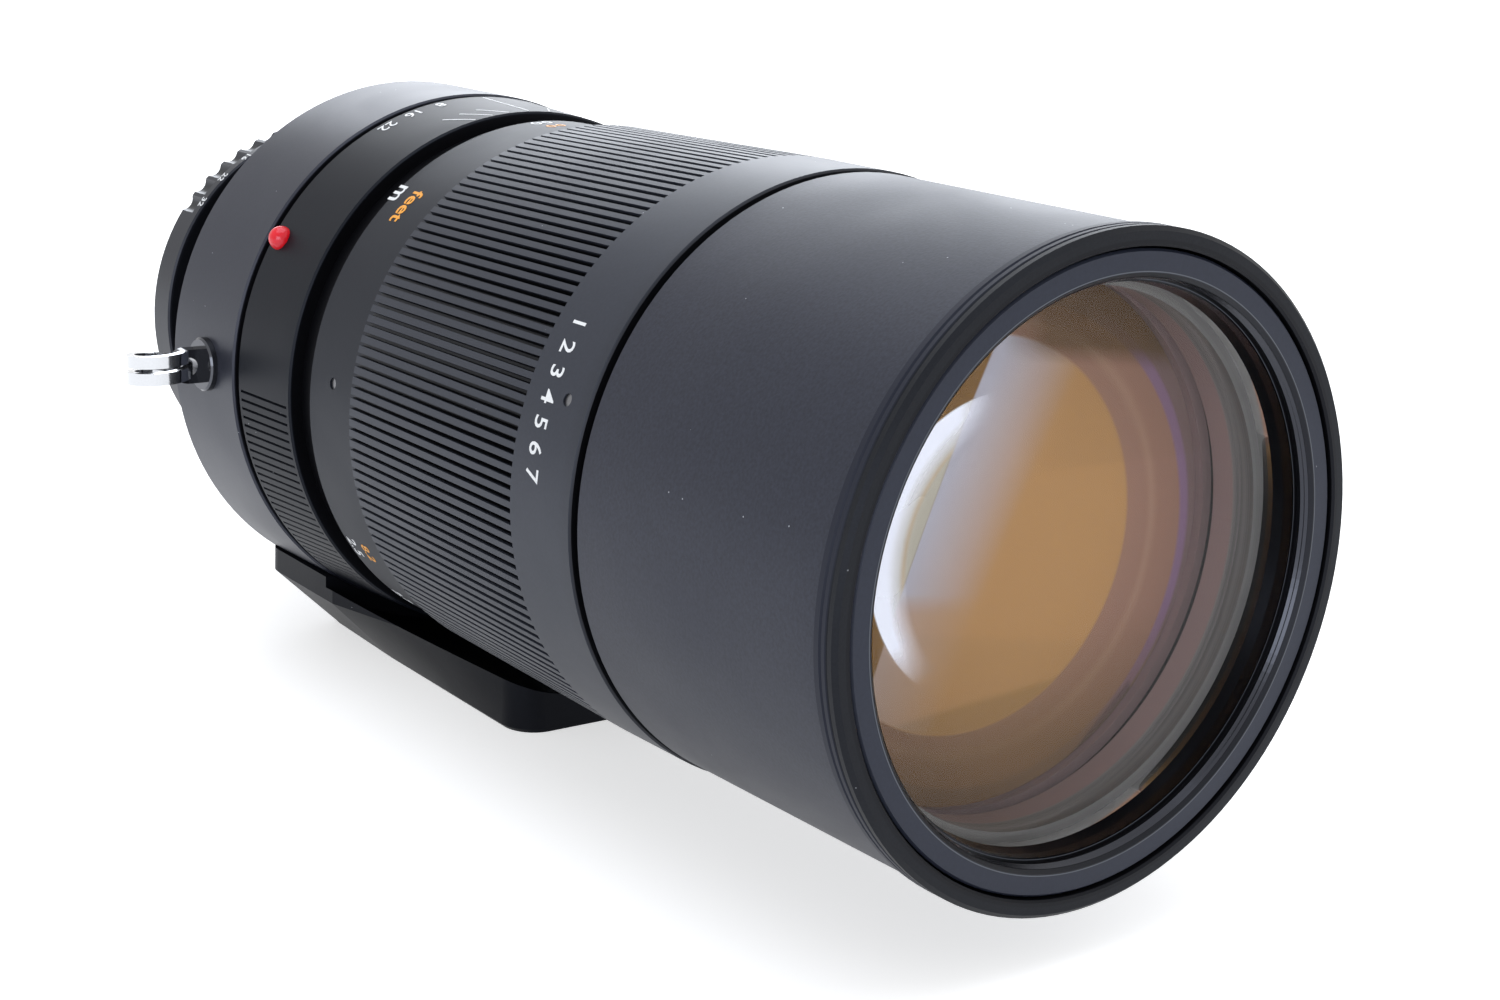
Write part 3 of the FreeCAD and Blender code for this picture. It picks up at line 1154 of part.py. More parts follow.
def strap_ring():
    """Split ring of flat wire, wound nearly two turns, whose middle passes through the lug's eye."""
    pitch = STRAP_WIRE_HEIGHT + STRAP_WIRE_GAP
    height = pitch * STRAP_RING_TURNS
    path = Part.makeHelix(pitch, height, STRAP_RING_RADIUS)
    inner = STRAP_RING_RADIUS - STRAP_WIRE_WIDTH / 2
    outer = STRAP_RING_RADIUS + STRAP_WIRE_WIDTH / 2
    half = STRAP_WIRE_HEIGHT / 2
    section = ((inner, -half), (outer, -half), (outer, half), (inner, half))
    points = [FreeCAD.Vector(x, 0, z) for x, z in section]
    coil = Part.Wire(path).makePipeShell([Part.makePolygon(points + points[:1])], True, True)
    # The middle of the wire is turned to the ring's near end, and the winding's axis to lie across
    coil.translate(FreeCAD.Vector(0, 0, -height / 2))
    coil.rotate(AXIS_POINT, FreeCAD.Vector(0, 0, 1), -STRAP_RING_TURNS * FULL_TURN / 2)
    coil.rotate(AXIS_POINT, FreeCAD.Vector(0, 1, 0), 90)
    coil.translate(FreeCAD.Vector(0, LUG_STATION - LENGTH, EYE_HEIGHT + STRAP_RING_RADIUS))
    return coil


for side, angle in (("left", 90.0), ("right", -90.0)):
    save("strap_lug_" + side, turn_to(strap_lug(), angle))
    save("strap_ring_" + side, turn_to(strap_ring(), angle))


# Aperture ring

APERTURE_BORE = TAIL_RADIUS + RUNNING_GAP
APERTURE_RADIUS = APERTURE_BORE + APERTURE_WALL


def aperture_ring():
    """Ring with scalloped grips above and below, smooth at the sides and grooved inside for the ball."""
    body = tube(APERTURE_BORE, APERTURE_RADIUS, APERTURE_FRONT, APERTURE_REAR, EDGE_BREAK)
    circle = APERTURE_RADIUS + SCALLOP_RADIUS - SCALLOP_DEPTH
    scallop = axial_pin(SCALLOP_RADIUS, circle, APERTURE_REAR - SCALLOP_LENGTH, APERTURE_REAR + OVERCUT)
    first = -SCALLOP_PITCH * (SCALLOP_COUNT - 1) / 2
    cutters = around(scallop, SCALLOP_COUNT, first, SCALLOP_PITCH)
    cutters += around(scallop, SCALLOP_COUNT, first + FULL_TURN / 2, SCALLOP_PITCH)
    groove = drum(
        TAIL_RADIUS + CLICK_DEPTH + SLOT_GAP, APERTURE_BALL_STATION - BALL_RADIUS,
        APERTURE_BALL_STATION + BALL_RADIUS)
    return body.cut(Part.makeCompound(cutters)).cut(groove)


save("aperture_ring", aperture_ring())
aperture_ball = click_ball(APERTURE_BALL_STATION, APERTURE_BALL_CENTRE)
save("aperture_click_ball", turn_to(aperture_ball, APERTURE_BALL_ANGLE))


# Bayonet mount, rear light shade and the stop-down lever

MOUNT_RADIUS = TAIL_RADIUS + MOUNT_LEDGE
THROAT_BORE = THROAT_RADIUS - THROAT_WALL
THROAT_REAR = LENGTH + THROAT_LENGTH
SHADE_RADIUS = SHADE_BORE + SHADE_WALL
SHADE_REAR = LENGTH + SHADE_PROUD


def bayonet_mount():
    """Flange, throat and three lugs in one piece, with countersunk holes."""
    body = turned([
        (THROAT_BORE, MOUNT_FRONT), (MOUNT_RADIUS - EDGE_BREAK, MOUNT_FRONT),
        (MOUNT_RADIUS, MOUNT_FRONT + EDGE_BREAK), (MOUNT_RADIUS, LENGTH - EDGE_BREAK),
        (MOUNT_RADIUS - EDGE_BREAK, LENGTH), (THROAT_RADIUS, LENGTH),
        (THROAT_RADIUS, THROAT_REAR - EDGE_BREAK),
        (THROAT_RADIUS - EDGE_BREAK, THROAT_REAR), (THROAT_BORE, THROAT_REAR),
    ])
    outer = THROAT_RADIUS + LUG_REACH
    lug = sector(THROAT_RADIUS - WELD, outer, -LUG_SPAN / 2, LUG_SPAN / 2, LENGTH + LUG_START, LUG_LENGTH)
    body = joined([body] + around(lug, LUG_COUNT))
    return body.cut(Part.makeCompound(around(mount_screw(OVERCUT), MOUNT_SCREW_COUNT)))


def mount_screw(above=0.0):
    """Countersunk screw in the flange, or the hole for it when carried above the face."""
    head_front = LENGTH - MOUNT_SCREW_HEAD_DEPTH
    outline = [
        (0, LENGTH - MOUNT_SCREW_LENGTH), (MOUNT_SCREW_SHANK, LENGTH - MOUNT_SCREW_LENGTH),
        (MOUNT_SCREW_SHANK, head_front), (MOUNT_SCREW_HEAD, LENGTH - FACE_GAP / 2),
    ]
    if above:
        outline += [(MOUNT_SCREW_HEAD, LENGTH + above), (0, LENGTH + above)]
    else:
        outline += [(0, LENGTH - FACE_GAP / 2)]
    screw = turned(outline)
    screw.translate(FreeCAD.Vector(0, 0, MOUNT_SCREW_CIRCLE))
    return screw


def mount_screws():
    """Six countersunk screws with cross recesses."""
    cross = []
    for across, up in ((CROSS_ARM, CROSS_WIDTH), (CROSS_WIDTH, CROSS_ARM)):
        corner = FreeCAD.Vector(-across / 2, -FACE_GAP / 2 - CROSS_DEPTH, MOUNT_SCREW_CIRCLE - up / 2)
        cross.append(Part.makeBox(across, CROSS_DEPTH + OVERCUT, up, corner))
    screw = mount_screw().cut(joined(cross))
    return Part.makeCompound(around(screw, MOUNT_SCREW_COUNT))


def light_shade():
    """Blackened tube inside the throat, flanged into the rear barrel."""
    return turned([
        (SHADE_BORE, SHADE_FRONT), (TAIL_BORE, SHADE_FRONT), (TAIL_BORE, SHADE_FRONT + SHADE_FLANGE),
        (SHADE_RADIUS, SHADE_FRONT + SHADE_FLANGE), (SHADE_RADIUS, SHADE_REAR), (SHADE_BORE, SHADE_REAR),
    ])


def stop_down_lever():
    """Ring on the light shade with a tab that the camera pushes."""
    front = SHADE_FRONT + SHADE_FLANGE + FACE_GAP
    rear = front + LEVER_LENGTH
    inner = SHADE_RADIUS + LEVER_TAB_GAP
    body = tube(SHADE_RADIUS + RUNNING_GAP, inner + LEVER_TAB_DEPTH + LEVER_RIM, front, rear)
    corner = FreeCAD.Vector(-LEVER_TAB_WIDTH / 2, rear - WELD - LENGTH, inner)
    tab = Part.makeBox(LEVER_TAB_WIDTH, LEVER_TAB_PROUD - corner.y, LEVER_TAB_DEPTH, corner)
    return joined([body, turn_to(tab, LEVER_ANGLE)])


save("bayonet_mount", bayonet_mount())
save("mount_screws", mount_screws())
save("light_shade", light_shade())
save("stop_down_lever", stop_down_lever())
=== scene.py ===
import bmesh
import bpy
import math
from mathutils import Matrix, Vector


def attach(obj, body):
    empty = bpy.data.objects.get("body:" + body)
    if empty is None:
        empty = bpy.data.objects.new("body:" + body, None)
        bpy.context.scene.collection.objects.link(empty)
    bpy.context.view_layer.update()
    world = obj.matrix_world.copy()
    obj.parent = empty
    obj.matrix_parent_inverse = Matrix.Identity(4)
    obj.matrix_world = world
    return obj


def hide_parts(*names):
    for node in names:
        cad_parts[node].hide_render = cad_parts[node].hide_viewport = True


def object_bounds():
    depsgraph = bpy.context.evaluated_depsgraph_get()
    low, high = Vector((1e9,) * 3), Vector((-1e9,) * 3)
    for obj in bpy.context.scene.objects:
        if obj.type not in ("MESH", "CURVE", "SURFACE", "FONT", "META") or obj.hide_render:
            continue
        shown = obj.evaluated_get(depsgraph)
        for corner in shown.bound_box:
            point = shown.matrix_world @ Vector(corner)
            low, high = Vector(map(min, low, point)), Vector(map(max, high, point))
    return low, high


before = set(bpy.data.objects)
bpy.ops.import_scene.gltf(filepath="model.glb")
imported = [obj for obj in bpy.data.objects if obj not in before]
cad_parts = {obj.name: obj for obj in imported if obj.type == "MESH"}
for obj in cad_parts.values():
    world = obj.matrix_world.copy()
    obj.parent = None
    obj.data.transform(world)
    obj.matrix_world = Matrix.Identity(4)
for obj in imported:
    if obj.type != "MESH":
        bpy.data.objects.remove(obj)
cad_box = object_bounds()

# Sizes are written in millimetres, as on the lens, and made metres where a piece takes its place.
# A station is a distance behind the front rim. An angle about the axis runs from the top toward -X.
MM = 0.001
LENGTH = 208.0
GRIP_RADIUS = 44.3
SCALE_RADIUS = 42.3
BAND_FRONT, BAND_FRONT_RADIUS = 135.4, 43.2
BAND_REAR, BAND_REAR_RADIUS = 151.5, 43.9
NECK_FRONT, NECK_FRONT_RADIUS = 181.0, 36.6
NECK_REAR, NECK_REAR_RADIUS = 200.0, 30.8
APERTURE_RADIUS = 33.3
FILTER_BORE = 38.1
FILTER_FACE = 0.97
RETAINER_FRONT = 3.0
FOOT_BASE = 51.4
PRINT_HEIGHT = 0.04
MERGE_DISTANCE = 1e-7


# Shared effects, as node groups

CLEAN_SHARE = 0.82


def value_group(name, inputs, outputs):
    """A shader group with its sockets, and its two end nodes."""
    group = bpy.data.node_groups.new(name, "ShaderNodeTree")
    for socket, kind, default in inputs:
        made = group.interface.new_socket(name=socket, in_out="INPUT", socket_type=kind)
        if default is not None:
            made.default_value = default
    for socket, kind in outputs:
        group.interface.new_socket(name=socket, in_out="OUTPUT", socket_type=kind)
    return group, group.nodes.new("NodeGroupInput"), group.nodes.new("NodeGroupOutput")


def math_node(nodes, operation, first=None, second=None):
    """A math node with its plain numbers set."""
    node = nodes.new("ShaderNodeMath")
    node.operation = operation
    if first is not None:
        node.inputs[0].default_value = first
    if second is not None:
        node.inputs[1].default_value = second
    return node


def grain_group():
    """Fine, even roughness of a blasted or enamelled surface."""
    group, start, end = value_group(
        "surface_grain",
        [("Vector", "NodeSocketVector", None), ("Scale", "NodeSocketFloat", 2200.0)],
        [("Value", "NodeSocketFloat")])
    noise = group.nodes.new("ShaderNodeTexNoise")
    noise.inputs["Detail"].default_value = 2.0
    group.links.new(start.outputs["Vector"], noise.inputs["Vector"])
    group.links.new(start.outputs["Scale"], noise.inputs["Scale"])
    group.links.new(noise.outputs["Fac"], end.inputs["Value"])
    return group


def radius_group():
    """Distance from the lens's axis."""
    group, start, end = value_group(
        "axis_radius",
        [("Vector", "NodeSocketVector", None)],
        [("Radius", "NodeSocketFloat")])
    nodes, links = group.nodes, group.links
    flat = nodes.new("ShaderNodeVectorMath")
    flat.operation = "MULTIPLY"
    flat.inputs[1].default_value = (1.0, 0.0, 1.0)
    length = nodes.new("ShaderNodeVectorMath")
    length.operation = "LENGTH"
    links.new(start.outputs["Vector"], flat.inputs[0])
    links.new(flat.outputs["Vector"], length.inputs[0])
    links.new(length.outputs["Value"], end.inputs["Radius"])
    return group


def axis_radius(nodes, links, vector):
    """A point's distance from the lens's axis."""
    around = nodes.new("ShaderNodeGroup")
    around.node_tree = AROUND
    links.new(vector, around.inputs["Vector"])
    return around.outputs["Radius"]


def lathe_group():
    """Lines left by turning: they change along and away from the lens's axis, never round it."""
    group, start, end = value_group(
        "lathe_lines",
        [("Vector", "NodeSocketVector", None), ("Scale", "NodeSocketFloat", 3000.0)],
        [("Value", "NodeSocketFloat")])
    nodes, links = group.nodes, group.links
    parts = nodes.new("ShaderNodeSeparateXYZ")
    place = nodes.new("ShaderNodeCombineXYZ")
    noise = nodes.new("ShaderNodeTexNoise")
    noise.inputs["Detail"].default_value = 3.0
    links.new(start.outputs["Vector"], parts.inputs[0])
    links.new(axis_radius(nodes, links, start.outputs["Vector"]), place.inputs["X"])
    links.new(parts.outputs["Y"], place.inputs["Y"])
    links.new(place.outputs[0], noise.inputs["Vector"])
    links.new(start.outputs["Scale"], noise.inputs["Scale"])
    links.new(noise.outputs["Fac"], end.inputs["Value"])
    return group


def dust_group():
    """Sparse pale specks that settle on a black lens."""
    group, start, end = value_group(
        "dust_specks",
        [("Vector", "NodeSocketVector", None), ("Scale", "NodeSocketFloat", 420.0),
         ("Size", "NodeSocketFloat", 0.075)],
        [("Mask", "NodeSocketFloat")])
    nodes, links = group.nodes, group.links
    cells = nodes.new("ShaderNodeTexVoronoi")
    some = math_node(nodes, "GREATER_THAN", second=CLEAN_SHARE)
    colour = nodes.new("ShaderNodeSeparateXYZ")
    near = math_node(nodes, "LESS_THAN")
    mask = math_node(nodes, "MULTIPLY")
    links.new(start.outputs["Vector"], cells.inputs["Vector"])
    links.new(start.outputs["Scale"], cells.inputs["Scale"])
    links.new(cells.outputs["Color"], colour.inputs[0])
    links.new(colour.outputs["X"], some.inputs[0])
    links.new(cells.outputs["Distance"], near.inputs[0])
    links.new(start.outputs["Size"], near.inputs[1])
    links.new(some.outputs[0], mask.inputs[0])
    links.new(near.outputs[0], mask.inputs[1])
    links.new(mask.outputs[0], end.inputs["Mask"])
    return group


def smudge_group():
    """Broad soft patches where the finish has been handled."""
    group, start, end = value_group(
        "handling_smudges",
        [("Vector", "NodeSocketVector", None), ("Scale", "NodeSocketFloat", 32.0)],
        [("Value", "NodeSocketFloat")])
    noise = group.nodes.new("ShaderNodeTexNoise")
    noise.inputs["Detail"].default_value = 4.0
    noise.inputs["Distortion"].default_value = 0.6
    group.links.new(start.outputs["Vector"], noise.inputs["Vector"])
    group.links.new(start.outputs["Scale"], noise.inputs["Scale"])
    group.links.new(noise.outputs["Fac"], end.inputs["Value"])
    return group


def proud_group():
    """Tells a turned part's proud surface, 1, from its grooves and steps, 0, by distance from the axis."""
    group, start, end = value_group(
        "proud_of_recess",
        [("Vector", "NodeSocketVector", None), ("Floor", "NodeSocketFloat", 0.04),
         ("Slope", "NodeSocketFloat", 0.0), ("Softness", "NodeSocketFloat", 0.0002)],
        [("Mask", "NodeSocketFloat")])
    nodes, links = group.nodes, group.links
    parts = nodes.new("ShaderNodeSeparateXYZ")
    leaning = math_node(nodes, "MULTIPLY")
    level = math_node(nodes, "ADD")
    height = math_node(nodes, "SUBTRACT")
    share = math_node(nodes, "DIVIDE")
    share.use_clamp = True
    links.new(start.outputs["Vector"], parts.inputs[0])
    links.new(parts.outputs["Y"], leaning.inputs[0])
    links.new(start.outputs["Slope"], leaning.inputs[1])
    links.new(leaning.outputs[0], level.inputs[0])
    links.new(start.outputs["Floor"], level.inputs[1])
    links.new(axis_radius(nodes, links, start.outputs["Vector"]), height.inputs[0])
    links.new(level.outputs[0], height.inputs[1])
    links.new(height.outputs[0], share.inputs[0])
    links.new(start.outputs["Softness"], share.inputs[1])
    links.new(share.outputs[0], end.inputs["Mask"])
    return group


def disc_group():
    """1 inside a circle seen along the lens's axis, 0 outside."""
    group, start, end = value_group(
        "disc_mask",
        [("Vector", "NodeSocketVector", None), ("Centre", "NodeSocketVector", (0.0, 0.0, 0.0)),
         ("Radius", "NodeSocketFloat", 0.03), ("Softness", "NodeSocketFloat", 0.0005)],
        [("Mask", "NodeSocketFloat")])
    nodes, links = group.nodes, group.links
    shift = nodes.new("ShaderNodeVectorMath")
    shift.operation = "SUBTRACT"
    inside = math_node(nodes, "SUBTRACT")
    share = math_node(nodes, "DIVIDE")
    middle = math_node(nodes, "ADD", second=0.5)
    middle.use_clamp = True
    links.new(start.outputs["Vector"], shift.inputs[0])
    links.new(start.outputs["Centre"], shift.inputs[1])
    links.new(start.outputs["Radius"], inside.inputs[0])
    links.new(axis_radius(nodes, links, shift.outputs["Vector"]), inside.inputs[1])
    links.new(inside.outputs[0], share.inputs[0])
    links.new(start.outputs["Softness"], share.inputs[1])
    links.new(share.outputs[0], middle.inputs[0])
    links.new(middle.outputs[0], end.inputs["Mask"])
    return group


def edge_group():
    """1 on one side of a straight edge, 0 on the other."""
    group, start, end = value_group(
        "edge_mask",
        [("Vector", "NodeSocketVector", None), ("Point", "NodeSocketVector", (0.0, 0.0, 0.0)),
         ("Direction", "NodeSocketVector", (1.0, 0.0, 0.0)), ("Softness", "NodeSocketFloat", 0.001)],
        [("Mask", "NodeSocketFloat")])
    nodes, links = group.nodes, group.links
    shift = nodes.new("ShaderNodeVectorMath")
    shift.operation = "SUBTRACT"
    along = nodes.new("ShaderNodeVectorMath")
    along.operation = "DOT_PRODUCT"
    share = math_node(nodes, "DIVIDE")
    middle = math_node(nodes, "ADD", second=0.5)
    middle.use_clamp = True
    links.new(start.outputs["Vector"], shift.inputs[0])
    links.new(start.outputs["Point"], shift.inputs[1])
    links.new(shift.outputs["Vector"], along.inputs[0])
    links.new(start.outputs["Direction"], along.inputs[1])
    links.new(along.outputs["Value"], share.inputs[0])
    links.new(start.outputs["Softness"], share.inputs[1])
    links.new(share.outputs[0], middle.inputs[0])
    links.new(middle.outputs[0], end.inputs["Mask"])
    return group


AROUND = radius_group()
GRAIN = grain_group()
LATHE = lathe_group()
DUST = dust_group()
SMUDGE = smudge_group()
PROUD = proud_group()
DISC = disc_group()
EDGE = edge_group()


# Finishes

DEEP_BLACK = (0.0015, 0.0015, 0.002)
# Pale grey of the painted highlight lines at lit edges
HIGHLIGHT_GREY = (0.11, 0.12, 0.14)
HOOD_COLOUR = (0.0135, 0.0150, 0.0235)
LIP_COLOUR = (0.006, 0.0066, 0.008)
DUST_COLOUR = (0.32, 0.33, 0.36)
LIP_DUST_COLOUR = (0.22, 0.23, 0.25)
GLOSS_TINT = (0.80, 0.84, 1.0, 1.0)
SMUDGE_SCALE = 38.0
GLASS_SMUDGE_SCALE = 30.0
DUST_SCALE = 420.0
NOISE_LOW, NOISE_HIGH = 0.25, 0.75
ROUGHNESS_BELOW, ROUGHNESS_ABOVE = 0.04, 0.05
RELIEF_DEPTH = 0.1
# Softness of the painted shade in grooves, and of the painted highlight lines
RECESS_SHADE_SOFTNESS = 0.25
HIGHLIGHT_LINE_SOFTNESS = 0.06
LIP_SKIRT_START = 1.75
LIP_SHADE_RADIUS = 42.75
PLUM_REFLECTION_START = 14.0
SLEEVE_END = 128.0

# The coated glass and its painted reflections are drawn as they show through the two clear elements,
# which enlarge and shift them. A disc is its centre across and up, and its radius.
SEEN_SCALE = 1.08
SEEN_SHIFT = (-2.0, 1.8)
AMBER_DISC = (-4.0, 1.9, 28.0)
TAN_DISC = (-0.4, -0.1, 34.35)
VIOLET_DISC = (-0.4, 0.0, 35.9)
PALE_DISC_OUTER = (-2.0, 1.0, 31.2)
PALE_DISC_INNER = (-2.0, 1.0, 30.0)
BRIGHT_DISC = (1.3, -0.3, 22.1)
SHADED_DISC = (6.2, -2.0, 22.1)
YELLOW_DISC_OUTER = (5.6, -2.0, 21.0)
YELLOW_DISC_INNER = (6.2, -2.0, 20.8)
AMBER = (0.436, 0.24, 0.0915)
LOW_AMBER = (0.314, 0.179, 0.0653)
LILAC = (0.47, 0.47, 0.558)
TAN_RING = (0.296, 0.164, 0.118)
PALE_RING = (0.353, 0.212, 0.149)
LOW_BROWN = (0.183, 0.109, 0.0453)
PLUM_RING = (0.179, 0.12, 0.118)
VIOLET_ARC = (0.227, 0.139, 0.227)
TOP_BROWN = (0.0958, 0.0523, 0.0157)
DARK_WEDGE = (0.0653, 0.0505, 0.054)
DARK_AMBER = (0.218, 0.113, 0.0279)
WARM_WHITE = (0.505, 0.488, 0.418)
YELLOW_LINE = (0.488, 0.366, 0.192)
BRIGHT_CRESCENT = (0.64, 0.68, 0.79)
WALL_DARK = (0.0479, 0.0479, 0.0488)
WALL_GREY = (0.113, 0.113, 0.115)
WALL_LIGHT = (0.235, 0.235, 0.244)


def start_material(name):
    """An empty material with its Principled shader and Object coordinates."""
    material = bpy.data.materials.new(name)
    material.use_nodes = True
    nodes, links = material.node_tree.nodes, material.node_tree.links
    shader = nodes["Principled BSDF"]
    place = nodes.new("ShaderNodeTexCoord")
    return material, nodes, links, shader, place.outputs["Object"]


def place_group(nodes, links, group, vector, **values):
    """A shared effect placed in a material, with its own values by input name."""
    node = nodes.new("ShaderNodeGroup")
    node.node_tree = group
    for title, value in values.items():
        node.inputs[title].default_value = value
    links.new(vector, node.inputs["Vector"])
    return node.outputs[0]


def spread(nodes, links, source, low, high):
    """A noise value spread between two limits."""
    node = nodes.new("ShaderNodeMapRange")
    node.inputs["From Min"].default_value = NOISE_LOW
    node.inputs["From Max"].default_value = NOISE_HIGH
    node.inputs["To Min"].default_value = low
    node.inputs["To Max"].default_value = high
    links.new(source, node.inputs["Value"])
    return node.outputs["Result"]


def blend_colours(nodes, links, factor, first, second):
    """A colour between two, by a factor; each end is a colour or a socket."""
    node = nodes.new("ShaderNodeMix")
    node.data_type = "RGBA"
    for socket, end in ((node.inputs["A"], first), (node.inputs["B"], second)):
        if hasattr(end, "links"):
            links.new(end, socket)
        else:
            socket.default_value = (*end, 1.0)
    links.new(factor, node.inputs["Factor"])
    return node.outputs["Result"]


def shade(colour, amount):
    """The colour made lighter or darker."""
    return tuple(part * amount for part in colour)


def finish(name, colour, roughness, grain=2200.0, bump=0.05, metal=0.0, lathe=0.0, dust=0.0, vary=0.12,
           recess_shade=None, gloss=0.5, painted_highlight_lines=(), black_behind=None):
    """A rigid finish: a colour that drifts a little, a grain or lathe lines, smudges and specks of dust.

    The shade setting is a radius and its slope along the lens: below it a turned part's grooves and steps
    are painted deep black, painted shade. Each pair of radii for fine lines bounds a pale ring, a painted
    highlight where a lit edge catches the light. Behind a given station bare metal turns deep black and
    loses its metal.
    """
    material, nodes, links, shader, where = start_material(name)
    shader.inputs["Metallic"].default_value = metal
    shader.inputs["Specular IOR Level"].default_value = gloss
    if not metal:
        shader.inputs["Specular Tint"].default_value = GLOSS_TINT
    smudge = place_group(nodes, links, SMUDGE, where, Scale=SMUDGE_SCALE)
    fine = place_group(nodes, links, GRAIN, where, Scale=grain)
    low, high = shade(colour, 1 - vary), shade(colour, 1 + vary)
    colours = blend_colours(nodes, links, spread(nodes, links, fine, 0.0, 1.0), low, high)
    if dust:
        specks = place_group(nodes, links, DUST, where, Scale=DUST_SCALE, Size=dust)
        colours = blend_colours(nodes, links, specks, colours, DUST_COLOUR)
    # Painted shade: below the given radius a turned part's grooves and steps are coloured deep black.
    if recess_shade:
        proud = place_group(nodes, links, PROUD, where, Floor=recess_shade[0] * MM, Slope=recess_shade[1],
                            Softness=RECESS_SHADE_SOFTNESS * MM)
        colours = blend_colours(nodes, links, proud, DEEP_BLACK, colours)
    # Painted highlights: a fine pale ring between each pair of radii, where a lit edge catches the light.
    for inner, outer in painted_highlight_lines:
        inside, within = [place_group(nodes, links, DISC, where, Radius=radius * MM,
                                      Softness=HIGHLIGHT_LINE_SOFTNESS * MM) for radius in (inner, outer)]
        line = product(nodes, links, outside(nodes, links, inside), within)
        colours = blend_colours(nodes, links, line, colours, HIGHLIGHT_GREY)
    if black_behind:
        painted = behind_mask(nodes, links, where, black_behind, softness=0.1)
        colours = blend_colours(nodes, links, painted, colours, DEEP_BLACK)
        links.new(product(nodes, links, outside(nodes, links, painted), metal), shader.inputs["Metallic"])
    links.new(colours, shader.inputs["Base Color"])
    dulled = spread(nodes, links, smudge, roughness - ROUGHNESS_BELOW, roughness + ROUGHNESS_ABOVE)
    links.new(dulled, shader.inputs["Roughness"])
    height = place_group(nodes, links, LATHE, where, Scale=lathe) if lathe else fine
    add_relief(nodes, links, shader, height, bump)
    return material


def add_relief(nodes, links, shader, height, strength):
    """Fine relief over a surface."""
    relief = nodes.new("ShaderNodeBump")
    relief.inputs["Strength"].default_value = strength
    relief.inputs["Distance"].default_value = RELIEF_DEPTH * MM
    links.new(height, relief.inputs["Height"])
    links.new(relief.outputs["Normal"], shader.inputs["Normal"])


def behind_mask(nodes, links, where, station, softness):
    """1 behind a station, 0 in front of it."""
    return place_group(nodes, links, EDGE, where, Point=(0.0, (station - LENGTH) * MM, 0.0),
                       Direction=(0.0, 1.0, 0.0), Softness=softness * MM)


def lip_finish():
    """The hood's lip: black rubber at the front corner, painted shade inside it, and the hood's own satin
    black on its skirt.
    """
    material, nodes, links, shader, where = start_material("lip_rubber")
    shader.inputs["Specular IOR Level"].default_value = 0.20
    shader.inputs["Specular Tint"].default_value = GLOSS_TINT
    smudge = place_group(nodes, links, SMUDGE, where, Scale=SMUDGE_SCALE)
    fine = place_group(nodes, links, GRAIN, where, Scale=3200.0)
    rubber = blend_colours(nodes, links, spread(nodes, links, fine, 0.0, 1.0),
                           shade(LIP_COLOUR, 0.75), shade(LIP_COLOUR, 1.25))
    specks = place_group(nodes, links, DUST, where, Scale=560.0, Size=0.06)
    rubber = blend_colours(nodes, links, specks, rubber, LIP_DUST_COLOUR)
    # Painted shade: inside this radius the lip is deep black, for the shaded gap behind it.
    inner = place_group(nodes, links, DISC, where, Radius=LIP_SHADE_RADIUS * MM, Softness=0.2 * MM)
    rubber = blend_colours(nodes, links, inner, rubber, DEEP_BLACK)
    skirt = behind_mask(nodes, links, where, LIP_SKIRT_START, softness=0.15)
    links.new(blend_colours(nodes, links, skirt, rubber, HOOD_COLOUR), shader.inputs["Base Color"])
    links.new(spread(nodes, links, smudge, 0.42, 0.52), shader.inputs["Roughness"])
    add_relief(nodes, links, shader, fine, 0.1)
    return material


def clear_glass(name, ior, body):
    """Polished optical glass, faintly smudged."""
    material, nodes, links, shader, where = start_material(name)
    shader.inputs["Metallic"].default_value = 0.0
    shader.inputs["Transmission Weight"].default_value = 1.0
    shader.inputs["IOR"].default_value = ior
    smudge = place_group(nodes, links, SMUDGE, where, Scale=24.0)
    links.new(blend_colours(nodes, links, smudge, shade(body, 0.985), body), shader.inputs["Base Color"])
    shader.inputs["Roughness"].default_value = 0.0
    path = nodes.new("ShaderNodeLightPath")
    links.new(outside(nodes, links, path.outputs["Is Shadow Ray"]), shader.inputs["Alpha"])
    return material


def colour_ramp(nodes, links, factor, stops):
    """Colours by position, from 0 to 1."""
    node = nodes.new("ShaderNodeValToRGB")
    marks = node.color_ramp.elements
    while len(marks) > 1:
        marks.remove(marks[-1])
    marks[0].position, marks[0].color = stops[0][0], (*stops[0][1], 1.0)
    for position, colour in stops[1:]:
        marks.new(position).color = (*colour, 1.0)
    links.new(factor, node.inputs["Fac"])
    return node.outputs["Color"]


def product(nodes, links, first, *others):
    """Masks multiplied; a plain number scales them."""
    result = first
    for other in others:
        node = math_node(nodes, "MULTIPLY")
        links.new(result, node.inputs[0])
        if hasattr(other, "links"):
            links.new(other, node.inputs[1])
        else:
            node.inputs[1].default_value = other
        result = node.outputs[0]
    return result


def outside(nodes, links, mask):
    """The rest of a mask."""
    node = math_node(nodes, "SUBTRACT", first=1.0)
    links.new(mask, node.inputs[1])
    return node.outputs[0]


